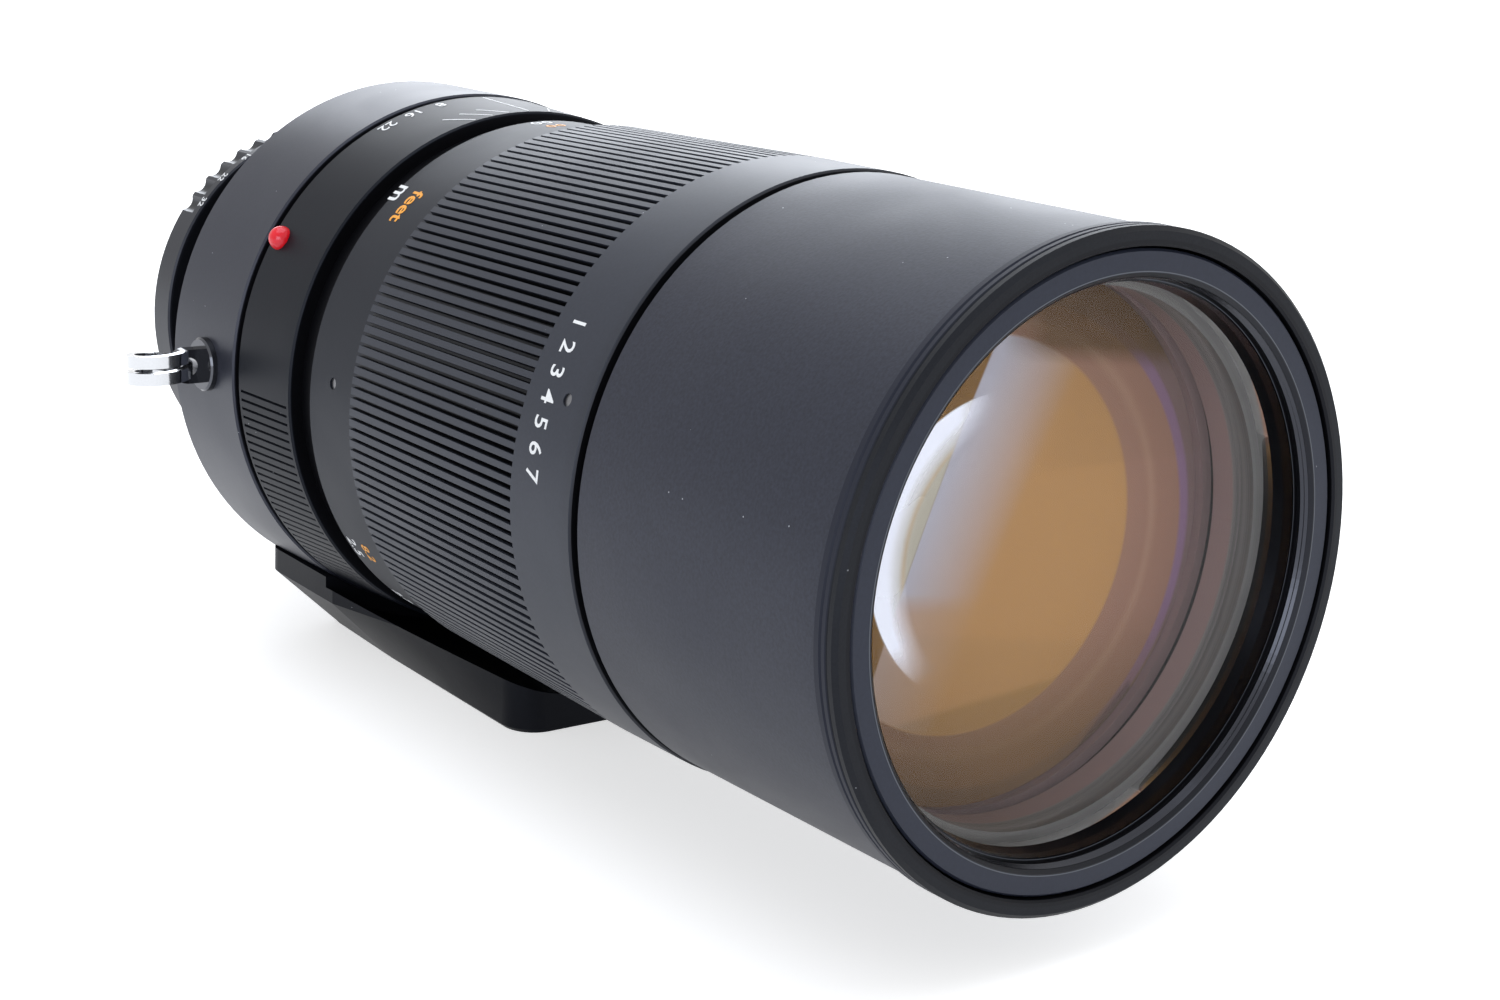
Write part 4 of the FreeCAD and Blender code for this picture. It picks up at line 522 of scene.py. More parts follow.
def amber_coating_painted_reflections():
    """The coated glass deep in the front cell: amber that pales to one side, in rings out to the rim.

    All of it is painted reflection and shade: each ring stands for what one glass surface throws back, and
    a bright crescent, a painted reflection, lies along the seen side.
    An edge is a point, a direction and a softness in mm, across and up, as it shows through the clear
    elements.
    """
    material, nodes, links, shader, where = start_material("amber_coating_painted_reflections")
    enlarged = nodes.new("ShaderNodeMapping")
    enlarged.inputs["Scale"].default_value = (SEEN_SCALE, 1.0, SEEN_SCALE)
    enlarged.inputs["Location"].default_value = (SEEN_SHIFT[0] * MM, 0.0, SEEN_SHIFT[1] * MM)
    links.new(where, enlarged.inputs["Vector"])
    seen = enlarged.outputs["Vector"]

    def disc(circle, softness):
        across, up, radius = circle
        return place_group(nodes, links, DISC, seen, Centre=(across * MM, 0.0, up * MM),
                           Radius=radius * MM, Softness=softness * MM)

    def edge(across, up, toward_x, toward_z, softness):
        length = math.hypot(toward_x, toward_z)
        return place_group(nodes, links, EDGE, seen, Point=(across * MM, 0.0, up * MM),
                           Direction=(toward_x / length, 0.0, toward_z / length), Softness=softness * MM)

    def over(under, mask, colour):
        return blend_colours(nodes, links, mask, under, colour)

    def both(*masks):
        return product(nodes, links, *masks)

    def no(mask):
        return outside(nodes, links, mask)

    # Painted reflections in rings, from the rim inward, and painted shade toward the bottom
    amber = disc(AMBER_DISC, 0.5)
    tan_ring = disc(TAN_DISC, 0.4)
    seen_side = edge(20.0, 4.0, 1.0, 0.0, 14.0)
    pale_ring = both(disc(PALE_DISC_OUTER, 1.2), no(disc(PALE_DISC_INNER, 1.2)))
    low = edge(0.0, -21.0, 0.0, -1.0, 18.0)
    low_amber_shade = edge(4.0, -21.5, 0.1, -1.0, 1.0)
    lower_half = edge(6.0, -14.0, -0.15, -1.0, 1.0)
    colours = over(PLUM_RING, both(disc(VIOLET_DISC, 0.5), seen_side), VIOLET_ARC)
    colours = over(colours, tan_ring, TAN_RING)
    colours = over(colours, both(tan_ring, pale_ring), PALE_RING)
    colours = over(colours, both(low, 0.8), LOW_BROWN)
    colours = over(colours, amber, AMBER)
    colours = over(colours, both(amber, low_amber_shade), LOW_AMBER)
    colours = over(colours, both(lower_half, amber, 0.25), LOW_AMBER)

    # Painted reflection on the pale side of the amber, and painted shade in the dark patches above and
    # below
    shelf = edge(-4.0, -8.0, 0.14, 1.0, 3.0)
    lean = edge(-5.1, 0.0, -1.0, 0.45, 14.0)
    upper_end = both(edge(12.0, 26.0, 0.1, 1.0, 3.0), edge(4.0, 26.0, 1.0, 0.3, 8.0))
    upper_band = both(edge(16.0, 9.8, -0.02, 1.0, 0.5), edge(8.0, 10.0, 1.0, 0.0, 10.0))
    wedge = both(edge(23.0, -26.0, 0.68, -0.73, 0.5), edge(27.5, -22.8, -0.85, -0.52, 0.5),
                 edge(27.0, -24.0, -0.9, -0.43, 0.5))
    colours = over(colours, both(lean, amber, shelf), LILAC)
    colours = over(colours, both(lean, amber, no(shelf), 0.4), LILAC)
    colours = over(colours, both(upper_end, 0.85), TOP_BROWN)
    colours = over(colours, both(upper_band, 0.10), TOP_BROWN)
    colours = over(colours, both(wedge, no(amber), 0.5), DARK_WEDGE)

    # Painted reflections: the strip beyond the pale side, and the bright crescent over it
    beyond = both(edge(-8.0, 13.0, -0.93, 0.37, 0.4), amber)
    bright_disc = disc(BRIGHT_DISC, 0.3)
    yellow_line = both(disc(YELLOW_DISC_OUTER, 0.8), no(disc(YELLOW_DISC_INNER, 0.6)), beyond)
    ends = both(edge(1.0, 20.0, -1.0, -0.35, 9.0), edge(-14.5, -15.5, -0.4, 1.0, 7.0))
    crescent = both(bright_disc, no(disc(SHADED_DISC, 3.6)), edge(-4.0, 0.0, -1.0, 0.0, 6.0), ends)
    colours = over(colours, beyond, DARK_AMBER)
    colours = over(colours, both(beyond, bright_disc), WARM_WHITE)
    colours = over(colours, yellow_line, YELLOW_LINE)
    colours = over(colours, crescent, BRIGHT_CRESCENT)

    links.new(colours, shader.inputs["Base Color"])
    links.new(crescent, shader.inputs["Metallic"])
    shader.inputs["Specular IOR Level"].default_value = 0.05
    smudge = place_group(nodes, links, SMUDGE, where, Scale=GLASS_SMUDGE_SCALE)
    links.new(spread(nodes, links, smudge, 0.22, 0.30), shader.inputs["Roughness"])
    return material


def ringed_wall():
    """The spacer's bore: fine turned rings in grey, and plum painted reflection where the coated glass
    shows in it.
    """
    material, nodes, links, shader, where = start_material("spacer_ringed_wall")
    fine = place_group(nodes, links, LATHE, where, Scale=2600.0)
    broad = place_group(nodes, links, LATHE, where, Scale=700.0)
    colours = blend_colours(nodes, links, spread(nodes, links, fine, 0.0, 1.0), WALL_DARK, WALL_GREY)
    light = product(nodes, links, spread(nodes, links, broad, 0.0, 1.0), 0.5)
    colours = blend_colours(nodes, links, light, colours, WALL_LIGHT)
    # Painted reflection: behind this station the wall is plum, where the coated glass's outer ring shows in
    # it.
    plum = behind_mask(nodes, links, where, PLUM_REFLECTION_START, softness=0.3)
    links.new(blend_colours(nodes, links, plum, colours, PLUM_RING), shader.inputs["Base Color"])
    shader.inputs["Roughness"].default_value = 0.45
    shader.inputs["Specular IOR Level"].default_value = 0.3
    add_relief(nodes, links, shader, fine, 0.4)
    return material


def dark_coating(name, centre, rim):
    """Coated glass over a dark inside: a tint that deepens toward the rim."""
    material, nodes, links, shader, where = start_material(name)
    shader.inputs["Metallic"].default_value = 1.0
    share = math_node(nodes, "DIVIDE", second=40.0 * MM)
    links.new(axis_radius(nodes, links, where), share.inputs[0])
    ramp = colour_ramp(nodes, links, share.outputs[0], [(0.0, centre), (0.5, rim)])
    links.new(ramp, shader.inputs["Base Color"])
    smudge = place_group(nodes, links, SMUDGE, where, Scale=GLASS_SMUDGE_SCALE)
    links.new(spread(nodes, links, smudge, 0.06, 0.12), shader.inputs["Roughness"])
    return material


# Each part's black below its given radius is painted shade in its grooves and steps; the pale rings on the
# filter ring and retainer are painted highlights.
HOOD_BLACK = finish("hood_satin_black", HOOD_COLOUR, 0.46, bump=0.16, dust=0.045, vary=0.35,
                    recess_shade=(43.2, 0.0), gloss=0.38)
# The depth band's black is darker than the other barrel parts' partly as painted shade, for the shade on
# it.
BAND_SHADED_BLACK = finish("depth_band_black_painted_shade", (0.0052, 0.0063, 0.0092), 0.42, dust=0.04, recess_shade=(42.6, 0.0),
                    gloss=0.15)
GRIP_BLACK = finish("grip_black", (0.01872, 0.02153, 0.02995), 0.44, dust=0.04,
                    recess_shade=(40.82, -0.02146), gloss=0.35)
SCALE_BLACK = finish("scale_ring_black", (0.00432, 0.00576, 0.00936), 0.48, gloss=0.28)
COLLAR_BLACK = finish("collar_black", (0.01728, 0.01872, 0.02736), 0.40, dust=0.04, recess_shade=(43.6, 0.0),
                      gloss=0.38)
# The foot's black is darker than the collar's partly as painted shade, for the shade its sides lie in.
FOOT_SHADED_BLACK = finish("foot_black_painted_shade", (0.003, 0.0034, 0.0048), 0.46, grain=1500.0, bump=0.12, dust=0.03,
                    gloss=0.12)
REAR_BLACK = finish("rear_barrel_black", (0.0072, 0.00792, 0.01152), 0.40, dust=0.035, gloss=0.32)
APERTURE_BLACK = finish("aperture_ring_black", (0.00864, 0.00936, 0.01296), 0.38, dust=0.03,
                        recess_shade=(32.5, 0.0), gloss=0.35)
FILTER_BLACK = finish("filter_ring_black", (0.0144, 0.01728, 0.0288), 0.38, dust=0.03,
                      recess_shade=(38.75, 0.0), gloss=0.32, painted_highlight_lines=((38.72, 38.86),))
BARREL_BLACK = finish("barrel_black", (0.006, 0.006, 0.008), 0.44, gloss=0.3)
INNER_BLACK = finish("inside_matte_black", (0.002, 0.002, 0.003), 0.72, bump=0.2, lathe=1800.0,
                     gloss=0.12)
RETAINER_BLACK = finish("retainer_gloss_black", DEEP_BLACK, 0.24, bump=0.1, lathe=1500.0, gloss=0.2,
                        painted_highlight_lines=((37.46, 37.58),))
THREAD_BLACK = finish("filter_thread_black", (0.003, 0.003, 0.004), 0.2, bump=0.1, lathe=1500.0,
                      gloss=0.7)
SPACER_GREY = ringed_wall()
LIP_RUBBER = lip_finish()
CAM_METAL = finish("cam_sleeve_metal", (0.42, 0.42, 0.43), 0.32, metal=1.0, lathe=2600.0, bump=0.25,
                   vary=0.05, black_behind=SLEEVE_END)
BRASS_BLACK = finish("blackened_brass", (0.020, 0.018, 0.015), 0.45, lathe=2200.0, bump=0.15)
PIN_BRASS = finish("pin_brass", (0.62, 0.42, 0.16), 0.28, metal=1.0, lathe=2600.0, bump=0.15,
                   vary=0.06)
MOUNT_CHROME = finish("mount_chrome", (0.50, 0.50, 0.51), 0.22, metal=1.0, lathe=3200.0, bump=0.12,
                      vary=0.03)
RING_CHROME = finish("split_ring_chrome", (0.58, 0.59, 0.61), 0.12, metal=1.0, grain=3600.0,
                     vary=0.03)
LUG_CHROME = finish("lug_dark_chrome", (0.085, 0.088, 0.10), 0.14, metal=1.0, grain=3000.0, bump=0.04,
                    vary=0.05)
THREAD_STEEL = finish("thread_steel", (0.46, 0.46, 0.47), 0.30, metal=1.0, lathe=3000.0, bump=0.2,
                      vary=0.05)
SCREW_STEEL = finish("screw_steel", (0.20, 0.20, 0.21), 0.34, metal=1.0, vary=0.05)
BLADE_BLACK = finish("blade_black", (0.010, 0.010, 0.011), 0.48, grain=2600.0, bump=0.08)
BEAD_RED = finish("bead_red", (0.72, 0.006, 0.014), 0.14, grain=900.0, bump=0.02, vary=0.05)
PRINT_WHITE = finish("print_white", (0.78, 0.79, 0.80), 0.42, vary=0.04)
PRINT_ORANGE = finish("print_orange", (0.86, 0.36, 0.03), 0.42, vary=0.05)

GLASS_FRONT = clear_glass("front_glass", 1.16, (1.0, 0.985, 0.96))
GLASS_INNER = clear_glass("inner_glass", 1.06, (0.99, 0.99, 1.0))
AMBER_COATING_PAINTED_REFLECTIONS = amber_coating_painted_reflections()
REAR_COATING = dark_coating("rear_coating", (0.10, 0.13, 0.12), (0.06, 0.05, 0.10))

NODE_FINISH = {
    "hood_tube": HOOD_BLACK, "hood_guide_ring": INNER_BLACK, "hood_lip": LIP_RUBBER,
    "front_barrel": BARREL_BLACK, "filter_ring": FILTER_BLACK, "front_retainer": RETAINER_BLACK,
    "front_cell": INNER_BLACK, "spacer_front": SPACER_GREY, "spacer_rear": SPACER_GREY,
    "main_tube": INNER_BLACK, "stray_light_baffle": INNER_BLACK, "focus_cell": INNER_BLACK,
    "focus_cell_retainer": INNER_BLACK, "focus_grip": GRIP_BLACK, "scale_ring": SCALE_BLACK,
    "depth_scale_band": BAND_SHADED_BLACK, "collar": COLLAR_BLACK, "foot": FOOT_SHADED_BLACK, "rear_barrel": REAR_BLACK,
    "aperture_ring": APERTURE_BLACK, "light_shade": INNER_BLACK, "rear_cell": BRASS_BLACK,
    "rear_cell_retainers": BRASS_BLACK, "iris_housing": BRASS_BLACK, "iris_snap_ring": SCREW_STEEL,
    "iris_drive_ring": PIN_BRASS, "focus_cam_sleeve": CAM_METAL, "focus_pins": PIN_BRASS,
    "index_bead": BEAD_RED, "bayonet_mount": MOUNT_CHROME, "mount_screws": SCREW_STEEL,
    "foot_screws": SCREW_STEEL, "grip_set_screws": SCREW_STEEL, "scale_set_screws": SCREW_STEEL,
    "stop_down_lever": PIN_BRASS, "strap_lug_left": LUG_CHROME, "strap_lug_right": LUG_CHROME,
    "strap_ring_left": RING_CHROME, "strap_ring_right": RING_CHROME, "tripod_bush_large": THREAD_STEEL,
    "tripod_bush_small": THREAD_STEEL, "collar_click_ball": THREAD_STEEL,
    "aperture_click_ball": THREAD_STEEL, "element_1": GLASS_FRONT, "element_2": GLASS_INNER,
    "element_3": AMBER_COATING_PAINTED_REFLECTIONS, "element_4": GLASS_INNER, "element_5": GLASS_INNER,
    "element_6": GLASS_INNER, "element_7": REAR_COATING,
}
for node_name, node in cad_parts.items():
    chosen = BLADE_BLACK if node_name.startswith("iris_blade") else NODE_FINISH[node_name]
    node.data.materials.clear()
    node.data.materials.append(chosen)


# Pieces made here

def add_piece(name, mesh, material, body):
    """A finished mesh made a piece that rides on a body."""
    mesh.name = name
    mesh.materials.clear()
    mesh.materials.append(material)
    piece = bpy.data.objects.new(name, mesh)
    bpy.context.scene.collection.objects.link(piece)
    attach(piece, body)
    return piece


# Polished glass: the elements that show are spun smooth, each in place of its solid

PROFILE_STEPS, GLASS_STEPS = 14, 144
CRISP_ANGLE = 30


def spherical_side(curve, rim_radius, rim_station, outward, steps):
    """Stations of a spherical glass surface, from the axis out to its rim, as radius and station."""
    drop = abs(curve) - math.sqrt(curve * curve - rim_radius * rim_radius)
    points = []
    for step in range(steps + 1):
        radius = rim_radius * step / steps
        here = abs(curve) - math.sqrt(curve * curve - radius * radius)
        points.append((radius, rim_station + outward * math.copysign(drop - here, curve)))
    return points


def spun_glass(radius, rim_station, rim_thickness, front_curve, back_curve):
    """A lens element spun about the lens's axis, smooth on its two faces and crisp at its rim."""
    front = spherical_side(front_curve, radius, rim_station, -1, PROFILE_STEPS)
    back = spherical_side(back_curve, radius, rim_station + rim_thickness, 1, PROFILE_STEPS)
    shape = bmesh.new()
    line = [shape.verts.new(Vector((r, station - LENGTH, 0)) * MM) for r, station in front + back[::-1]]
    for first, second in zip(line, line[1:]):
        shape.edges.new((first, second))
    bmesh.ops.spin(shape, geom=shape.verts[:] + shape.edges[:], cent=(0, 0, 0), axis=(0, 1, 0),
                   angle=2 * math.pi, steps=GLASS_STEPS, use_merge=True)
    bmesh.ops.remove_doubles(shape, verts=shape.verts[:], dist=MERGE_DISTANCE)
    bmesh.ops.recalc_face_normals(shape, faces=shape.faces[:])
    for face in shape.faces:
        face.smooth = True
    for edge_line in shape.edges:
        if edge_line.calc_face_angle(0.0) > math.radians(CRISP_ANGLE):
            edge_line.smooth = False
    mesh = bpy.data.meshes.new("glass")
    shape.to_mesh(mesh)
    shape.free()
    return mesh


# Sizes of an element: its radius, the station of its front rim, its thickness at the rim, and the radii
# of its front and back faces, where a minus is a hollow face.
POLISHED_ELEMENTS = (
    ("element_1", "front_element_polished", GLASS_FRONT, (37.2, 6.35, 3.2, 280.0, 420.0)),
    ("element_2", "second_element_polished", GLASS_INNER, (37.2, 18.6, 2.2, 112.0, 600.0)),
    ("element_3", "third_element_painted_reflections", AMBER_COATING_PAINTED_REFLECTIONS, (37.2, 22.6, 10.0, -260.0, -200.0)),
    ("element_7", "rear_element_coated", REAR_COATING, (20.0, 169.0, 4.2, -60.0, 90.0)),
)
for node_name, title, material, sizes in POLISHED_ELEMENTS:
    polished = add_piece(title, spun_glass(*sizes), material, "barrel")
    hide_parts(node_name)


# Printed and engraved marks

LETTER_SIZE = 1.38


def wrap(mesh, station, angle, radius_at, turn=0.0):
    """Lays a flat mesh on the lens: its X runs round toward -X, its Y runs forward and its Z stands out."""
    tilt = Matrix.Rotation(math.radians(turn), 3, "Z")
    for vertex in mesh.vertices:
        across, forward, out = tilt @ vertex.co
        here = station - forward
        radius = radius_at(here)
        around = math.radians(angle) + across / radius
        height = radius + out
        vertex.co = Vector((-height * math.sin(around), here - LENGTH, height * math.cos(around))) * MM
    mesh.update()


# The radius of each printed surface at a station

def grip_surface(station):
    return GRIP_RADIUS


def scale_surface(station):
    return SCALE_RADIUS


def aperture_surface(station):
    return APERTURE_RADIUS


def neck_surface(station):
    share = (station - NECK_FRONT) / (NECK_REAR - NECK_FRONT)
    return NECK_FRONT_RADIUS + share * (NECK_REAR_RADIUS - NECK_FRONT_RADIUS)


def band_surface(station):
    share = (station - BAND_FRONT) / (BAND_REAR - BAND_FRONT)
    return BAND_FRONT_RADIUS + share * (BAND_REAR_RADIUS - BAND_FRONT_RADIUS)


def text_mesh(words, height, weight):
    """Flat lettering of a given height and stroke weight, centred, as a mesh."""
    curve = bpy.data.curves.new("lettering", "FONT")
    curve.body = words
    curve.align_x = "CENTER"
    curve.align_y = "CENTER"
    curve.size = height * LETTER_SIZE
    curve.extrude = PRINT_HEIGHT
    curve.offset = weight
    curve.resolution_u = 3
    holder = bpy.data.objects.new("lettering", curve)
    bpy.context.scene.collection.objects.link(holder)
    shape = holder.evaluated_get(bpy.context.evaluated_depsgraph_get())
    mesh = bpy.data.meshes.new_from_object(shape)
    bpy.data.objects.remove(holder)
    bpy.data.curves.remove(curve)
    return mesh


def bar_mesh(length, width):
    """A thin printed bar along X, cut in short steps so that it follows a round surface."""
    shape = bmesh.new()
    steps = max(1, round(length))
    bmesh.ops.create_grid(shape, x_segments=steps, y_segments=1, size=0.5)
    bmesh.ops.scale(shape, vec=(length, width, 1.0), verts=shape.verts)
    made = bmesh.ops.extrude_face_region(shape, geom=shape.faces[:])
    top = [item for item in made["geom"] if isinstance(item, bmesh.types.BMVert)]
    bmesh.ops.translate(shape, vec=(0, 0, PRINT_HEIGHT), verts=top)
    bmesh.ops.translate(shape, vec=(0, 0, -PRINT_HEIGHT / 2), verts=shape.verts)
    bmesh.ops.recalc_face_normals(shape, faces=shape.faces[:])
    mesh = bpy.data.meshes.new("bar")
    shape.to_mesh(mesh)
    shape.free()
    return mesh


def joined_meshes(meshes):
    """Several meshes as one."""
    shape = bmesh.new()
    for mesh in meshes:
        shape.from_mesh(mesh)
        bpy.data.meshes.remove(mesh)
    whole = bpy.data.meshes.new("joined")
    shape.to_mesh(whole)
    shape.free()
    return whole


def lettering(entries, surface):
    """Words on one surface: each entry is words, height, station, angle and stroke weight."""
    meshes = []
    for words, height, station, angle, weight in entries:
        mesh = text_mesh(words, height, weight)
        wrap(mesh, station, angle, surface)
        meshes.append(mesh)
    return joined_meshes(meshes)


def bars(entries, surface):
    """Bars on one surface: each entry is length, width, station, angle and turn in degrees."""
    meshes = []
    for length, width, station, angle, turn in entries:
        mesh = bar_mesh(length, width)
        wrap(mesh, station, angle, surface, turn)
        meshes.append(mesh)
    return joined_meshes(meshes)


# Seven plain digits on the number band
FIRST_DIGIT, DIGIT_PITCH = 57.5, 4.6
DIGIT_HEIGHT, DIGIT_STATION, DIGIT_STROKE = 3.0, 64.5, 0.03
digits = [(digit, DIGIT_HEIGHT, DIGIT_STATION, FIRST_DIGIT + DIGIT_PITCH * place, DIGIT_STROKE)
          for place, digit in enumerate("1234567")]
add_piece("band_digits", lettering(digits, grip_surface), PRINT_WHITE, "focusing_ring")

# Distances on the scale ring, feet in front in orange and metres behind in white. Nearer ones stand farther
# round from the mark for far, which is two noughts side by side. The units stand on its other side.
NEAREST, NEAREST_TURN = 2.5, 236.0
METRES = ["30", "15", "10", "7", "6", "5", "4.5", "4", "3.5", "3", "2.7", "2.5"]
FEET = ["100", "50", "35", "25", "20", "17", "15", "13", "12", "11", "10", "9", "8.2"]
FEET_IN_METRE = 3.28
METRE_HEIGHT, METRE_STATION, FAR_METRE_STATION = 2.4, 128.4, 128.6
FOOT_HEIGHT, FOOT_STATION, FAR_FOOT_STATION = 2.2, 124.2, 124.6
STROKE = 0.02


def dial_angle(metres):
    """Where a distance stands on the ring: the turn from far is as one over the distance."""
    return -NEAREST_TURN * NEAREST / metres


metre_words = [("m", 3.4, 129.2, 41.1, 0.07)]
metre_words += [("0", METRE_HEIGHT, FAR_METRE_STATION, angle, STROKE) for angle in (4.9, 2.2)]
metre_words += [(words, METRE_HEIGHT, METRE_STATION, dial_angle(float(words)), STROKE) for words in METRES]
foot_words = [("feet", 3.0, 124.6, 43.6, 0.06)]
foot_words += [("0", FOOT_HEIGHT, FAR_FOOT_STATION, angle, STROKE) for angle in (4.6, 2.2)]
foot_words += [(words, FOOT_HEIGHT, FOOT_STATION, dial_angle(float(words) / FEET_IN_METRE), STROKE)
               for words in FEET]
add_piece("metre_numerals", lettering(metre_words, scale_surface), PRINT_WHITE, "focusing_ring")
add_piece("foot_numerals", lettering(foot_words, scale_surface), PRINT_ORANGE, "focusing_ring")

# Depth scale: an index line, pairs of lines that fan out from it and their aperture numbers. A line stands
# nearer the index than its number, and leans out toward it.
FAN = [(25.1, "22"), (18.2, "16"), (11.5, "8")]
FAN_HEIGHT, FAN_STATION = 2.3, 149.4
LINE_SHARE, LINE_LEAN = 0.62, 30.0
LINE_LENGTH, LINE_WIDTH, LINE_STATION = 6.0, 0.25, 138.8
fan_words = [(words, FAN_HEIGHT, FAN_STATION, side * angle, STROKE)
             for angle, words in FAN for side in (-1, 1)]
add_piece("depth_numerals", lettering(fan_words, band_surface), PRINT_WHITE, "barrel")
fan_lines = [(14.0, 0.3, 143.5, 0.0, 90.0)]
for angle, words in FAN:
    for side in (-1, 1):
        line_angle = side * angle * LINE_SHARE
        fan_lines.append((LINE_LENGTH, LINE_WIDTH, LINE_STATION, line_angle, 90.0 + side * LINE_LEAN))
add_piece("depth_lines", bars(fan_lines, band_surface), PRINT_WHITE, "barrel")

# Aperture numbers on the plain front of the aperture ring, and their index on the neck
FIRST_STOP, STOP_PITCH = -8.0, 10.0
STOP_HEIGHT, STOP_STATION = 1.5, 201.4
STOPS = [(words, STOP_HEIGHT, STOP_STATION, FIRST_STOP + STOP_PITCH * place, STROKE)
         for place, words in enumerate(("4", "5.6", "8", "11", "16", "22", "32"))]
add_piece("aperture_numerals", lettering(STOPS, aperture_surface), PRINT_WHITE, "stop_ring")
stop_index = bars([(1.6, 0.4, 198.6, FIRST_STOP, 90.0)], neck_surface)
add_piece("aperture_index", stop_index, PRINT_WHITE, "barrel")


# Inside threads

ROOT_GAP = 0.06
THREAD_STEPS = 180


def thread_ridges(bore, length, pitch, depth, place):
    """Ridges of an inside thread, spun from one zigzag line and set on the bore's axis."""
    shape = bmesh.new()
    count = int(length / pitch)
    previous = None
    for step in range(2 * count + 1):
        radius = bore - (ROOT_GAP if step % 2 == 0 else depth)
        vertex = shape.verts.new(Vector((radius, 0, step * pitch / 2)) * MM)
        if previous is not None:
            shape.edges.new((previous, vertex))
        previous = vertex
    bmesh.ops.spin(shape, geom=shape.verts[:] + shape.edges[:], cent=(0, 0, 0), axis=(0, 0, 1),
                   angle=2 * math.pi, steps=THREAD_STEPS, use_merge=True)
    bmesh.ops.remove_doubles(shape, verts=shape.verts[:], dist=MERGE_DISTANCE)
    for face in shape.faces:
        middle = face.calc_center_median()
        if face.normal.dot(Vector((middle.x, middle.y, 0))) > 0:
            face.normal_flip()
    bmesh.ops.transform(shape, matrix=place, verts=shape.verts)
    mesh = bpy.data.meshes.new("thread")
    shape.to_mesh(mesh)
    shape.free()
    return mesh


FILTER_THREAD_LENGTH = RETAINER_FRONT - FILTER_FACE
filter_place = Matrix.Translation((0, (FILTER_FACE - LENGTH) * MM, 0))
along_lens = filter_place @ Matrix.Rotation(math.radians(-90), 4, "X")
filter_ridges = thread_ridges(FILTER_BORE, FILTER_THREAD_LENGTH, 0.75, 0.34, along_lens)
add_piece("filter_thread_ridges", filter_ridges, THREAD_BLACK, "barrel")

# Threads of the two bushes: radius of the bore, length, pitch and station
BUSH_THREADS = (
    ("large_bush_thread", 4.0, 5.7, 1.5, 163.6),
    ("small_bush_thread", 2.6, 3.9, 1.27, 131.0),
)
for title, bore, length, pitch, station in BUSH_THREADS:
    under_foot = Matrix.Translation((0, (station - LENGTH) * MM, -FOOT_BASE * MM))
    ridges = thread_ridges(bore, length, pitch, 0.35, under_foot)
    add_piece(title, ridges, THREAD_STEEL, "tripod_collar")


# Studio

FLOOR_LEVEL = cad_box[0][2]
# Share of white that the floor gives of itself, and that the surroundings throw on the lens
FLOOR_LIFT = 0.58
FILL_STRENGTH = 0.62
LAMP_COLOUR = (0.88, 0.93, 1.0)
LAMP_TARGET = (0.0, -0.1, 0.0)
FOCAL_LENGTH = 59.513
CAMERA_PLACE = (-0.21958157, -0.41275155, 0.08459996)
CAMERA_RIGHT = Vector((0.79193544, -0.60833500, 0.05260029))
CAMERA_UP = Vector((0.11224268, 0.22971074, 0.96676500))
CAMERA_BACK = Vector((-0.60019984, -0.75971146, 0.25019723))


def shown_rays(nodes, links):
    """1 for the rays by which camera, gloss and glass see, 0 for the rest."""
    path = nodes.new("ShaderNodeLightPath")
    seen = math_node(nodes, "MAXIMUM")
    shown = math_node(nodes, "MAXIMUM")
    links.new(path.outputs["Is Camera Ray"], seen.inputs[0])
    links.new(path.outputs["Is Glossy Ray"], seen.inputs[1])
    links.new(seen.outputs[0], shown.inputs[0])
    links.new(path.outputs["Is Transmission Ray"], shown.inputs[1])
    return shown.outputs[0]


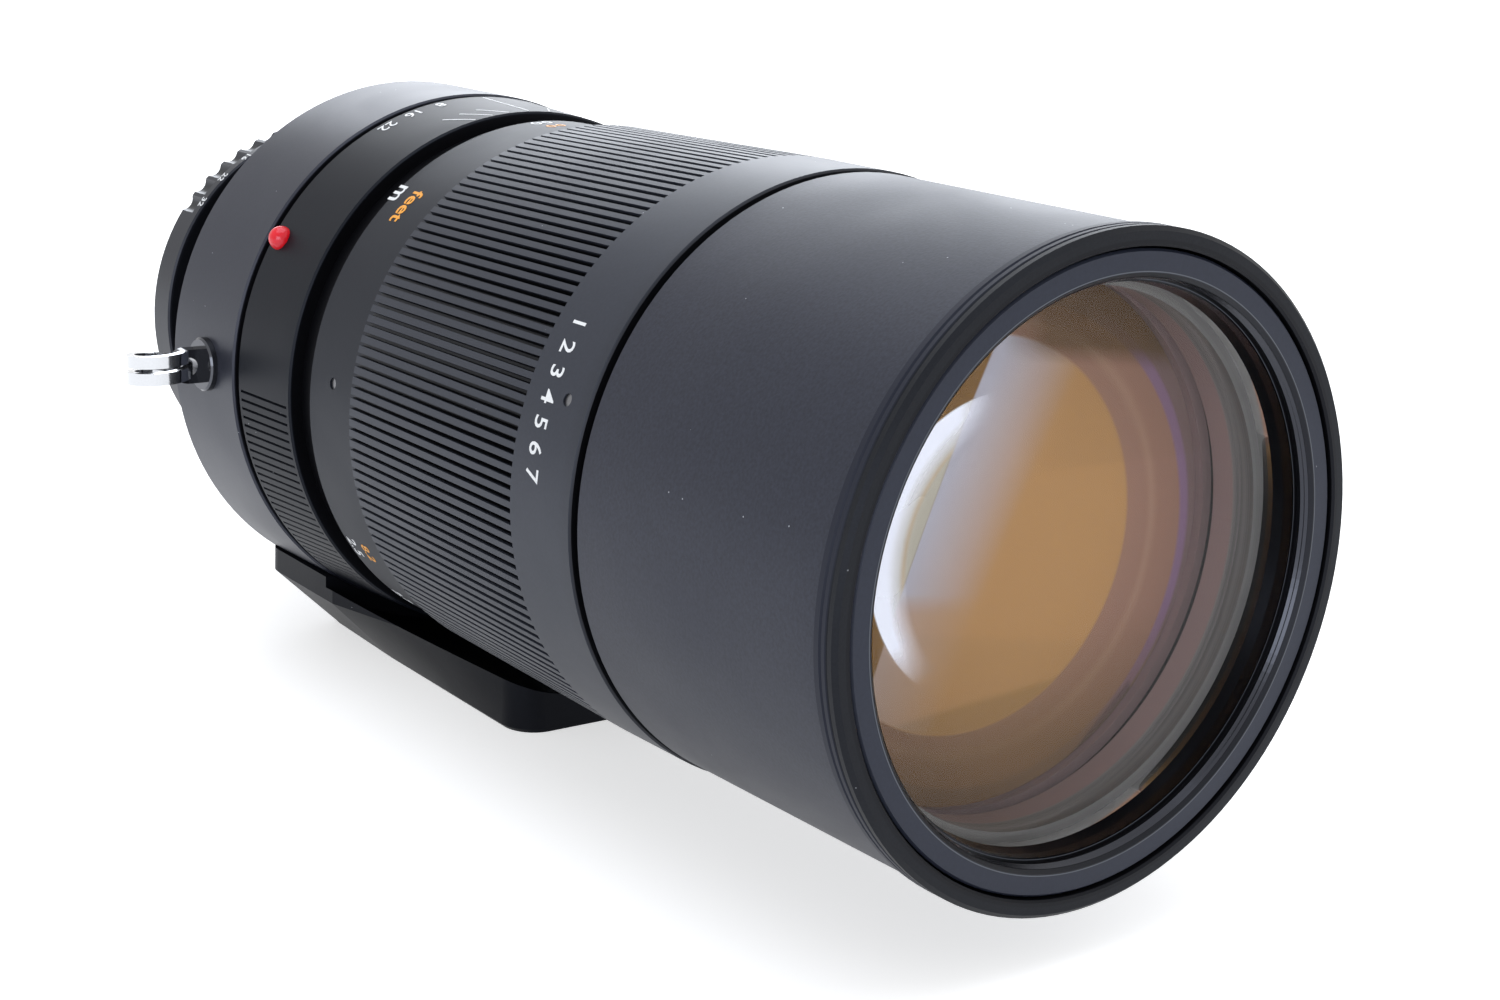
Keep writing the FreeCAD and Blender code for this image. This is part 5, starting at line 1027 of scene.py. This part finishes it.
def studio_floor():
    """A wide pale floor that keeps the shadow."""
    shape = bmesh.new()
    bmesh.ops.create_grid(shape, x_segments=1, y_segments=1, size=8.0)
    bmesh.ops.translate(shape, vec=(0, 0, FLOOR_LEVEL), verts=shape.verts)
    mesh = bpy.data.meshes.new("studio_floor")
    shape.to_mesh(mesh)
    shape.free()
    floor = bpy.data.objects.new("studio_floor", mesh)
    bpy.context.scene.collection.objects.link(floor)
    material, nodes, links, shader, where = start_material("floor_paper")
    smudge = place_group(nodes, links, SMUDGE, where, Scale=3.0)
    paper = blend_colours(nodes, links, smudge, (0.80, 0.80, 0.81), (0.82, 0.82, 0.82))
    links.new(paper, shader.inputs["Base Color"])
    shader.inputs["Roughness"].default_value = 0.9
    shader.inputs["Specular IOR Level"].default_value = 0.0
    lift = math_node(nodes, "MULTIPLY", second=FLOOR_LIFT)
    links.new(shown_rays(nodes, links), lift.inputs[0])
    shader.inputs["Emission Color"].default_value = (1.0, 1.0, 1.0, 1.0)
    links.new(lift.outputs[0], shader.inputs["Emission Strength"])
    mesh.materials.append(material)


def studio_world():
    """White surroundings as the camera, gloss and glass see them, and a softer fill for the rest."""
    world = bpy.data.worlds.new("studio")
    bpy.context.scene.world = world
    world.use_nodes = True
    nodes, links = world.node_tree.nodes, world.node_tree.links
    surround = nodes["Background"]
    surround.inputs["Color"].default_value = (1.0, 1.0, 1.0, 1.0)
    strength = nodes.new("ShaderNodeMapRange")
    strength.inputs["To Min"].default_value = FILL_STRENGTH
    strength.inputs["To Max"].default_value = 1.0
    links.new(shown_rays(nodes, links), strength.inputs["Value"])
    links.new(strength.outputs["Result"], surround.inputs["Strength"])


def softbox(name, place, width, height, power):
    """A rectangular soft lamp turned toward the lens."""
    lamp = bpy.data.lights.new(name, "AREA")
    lamp.shape = "RECTANGLE"
    lamp.size = width
    lamp.size_y = height
    lamp.energy = power
    lamp.color = LAMP_COLOUR
    holder = bpy.data.objects.new(name, lamp)
    bpy.context.scene.collection.objects.link(holder)
    holder.location = place
    holder.rotation_euler = (Vector(LAMP_TARGET) - Vector(place)).to_track_quat("-Z", "Y").to_euler()


def photo_camera():
    """The photograph's viewpoint."""
    lens = bpy.data.cameras.new("photo_camera")
    lens.sensor_width = 36.0
    lens.lens = FOCAL_LENGTH
    lens.clip_start = 0.01
    lens.clip_end = 50.0
    camera = bpy.data.objects.new("photo_camera", lens)
    bpy.context.scene.collection.objects.link(camera)
    turn = Matrix((CAMERA_RIGHT, CAMERA_UP, CAMERA_BACK)).transposed().to_4x4()
    camera.matrix_world = Matrix.Translation(CAMERA_PLACE) @ turn
    bpy.context.scene.camera = camera


studio_floor()
studio_world()
softbox("overhead_softbox", (-0.1, 0.0, 1.4), width=1.4, height=1.4, power=11.5)
softbox("back_softbox", (0.75, 1.05, 0.5), width=1.2, height=0.7, power=10.0)
softbox("left_softbox", (-1.15, -0.85, 0.12), width=1.0, height=0.9, power=9.0)
photo_camera()
bpy.context.scene.view_settings.view_transform = "Standard"
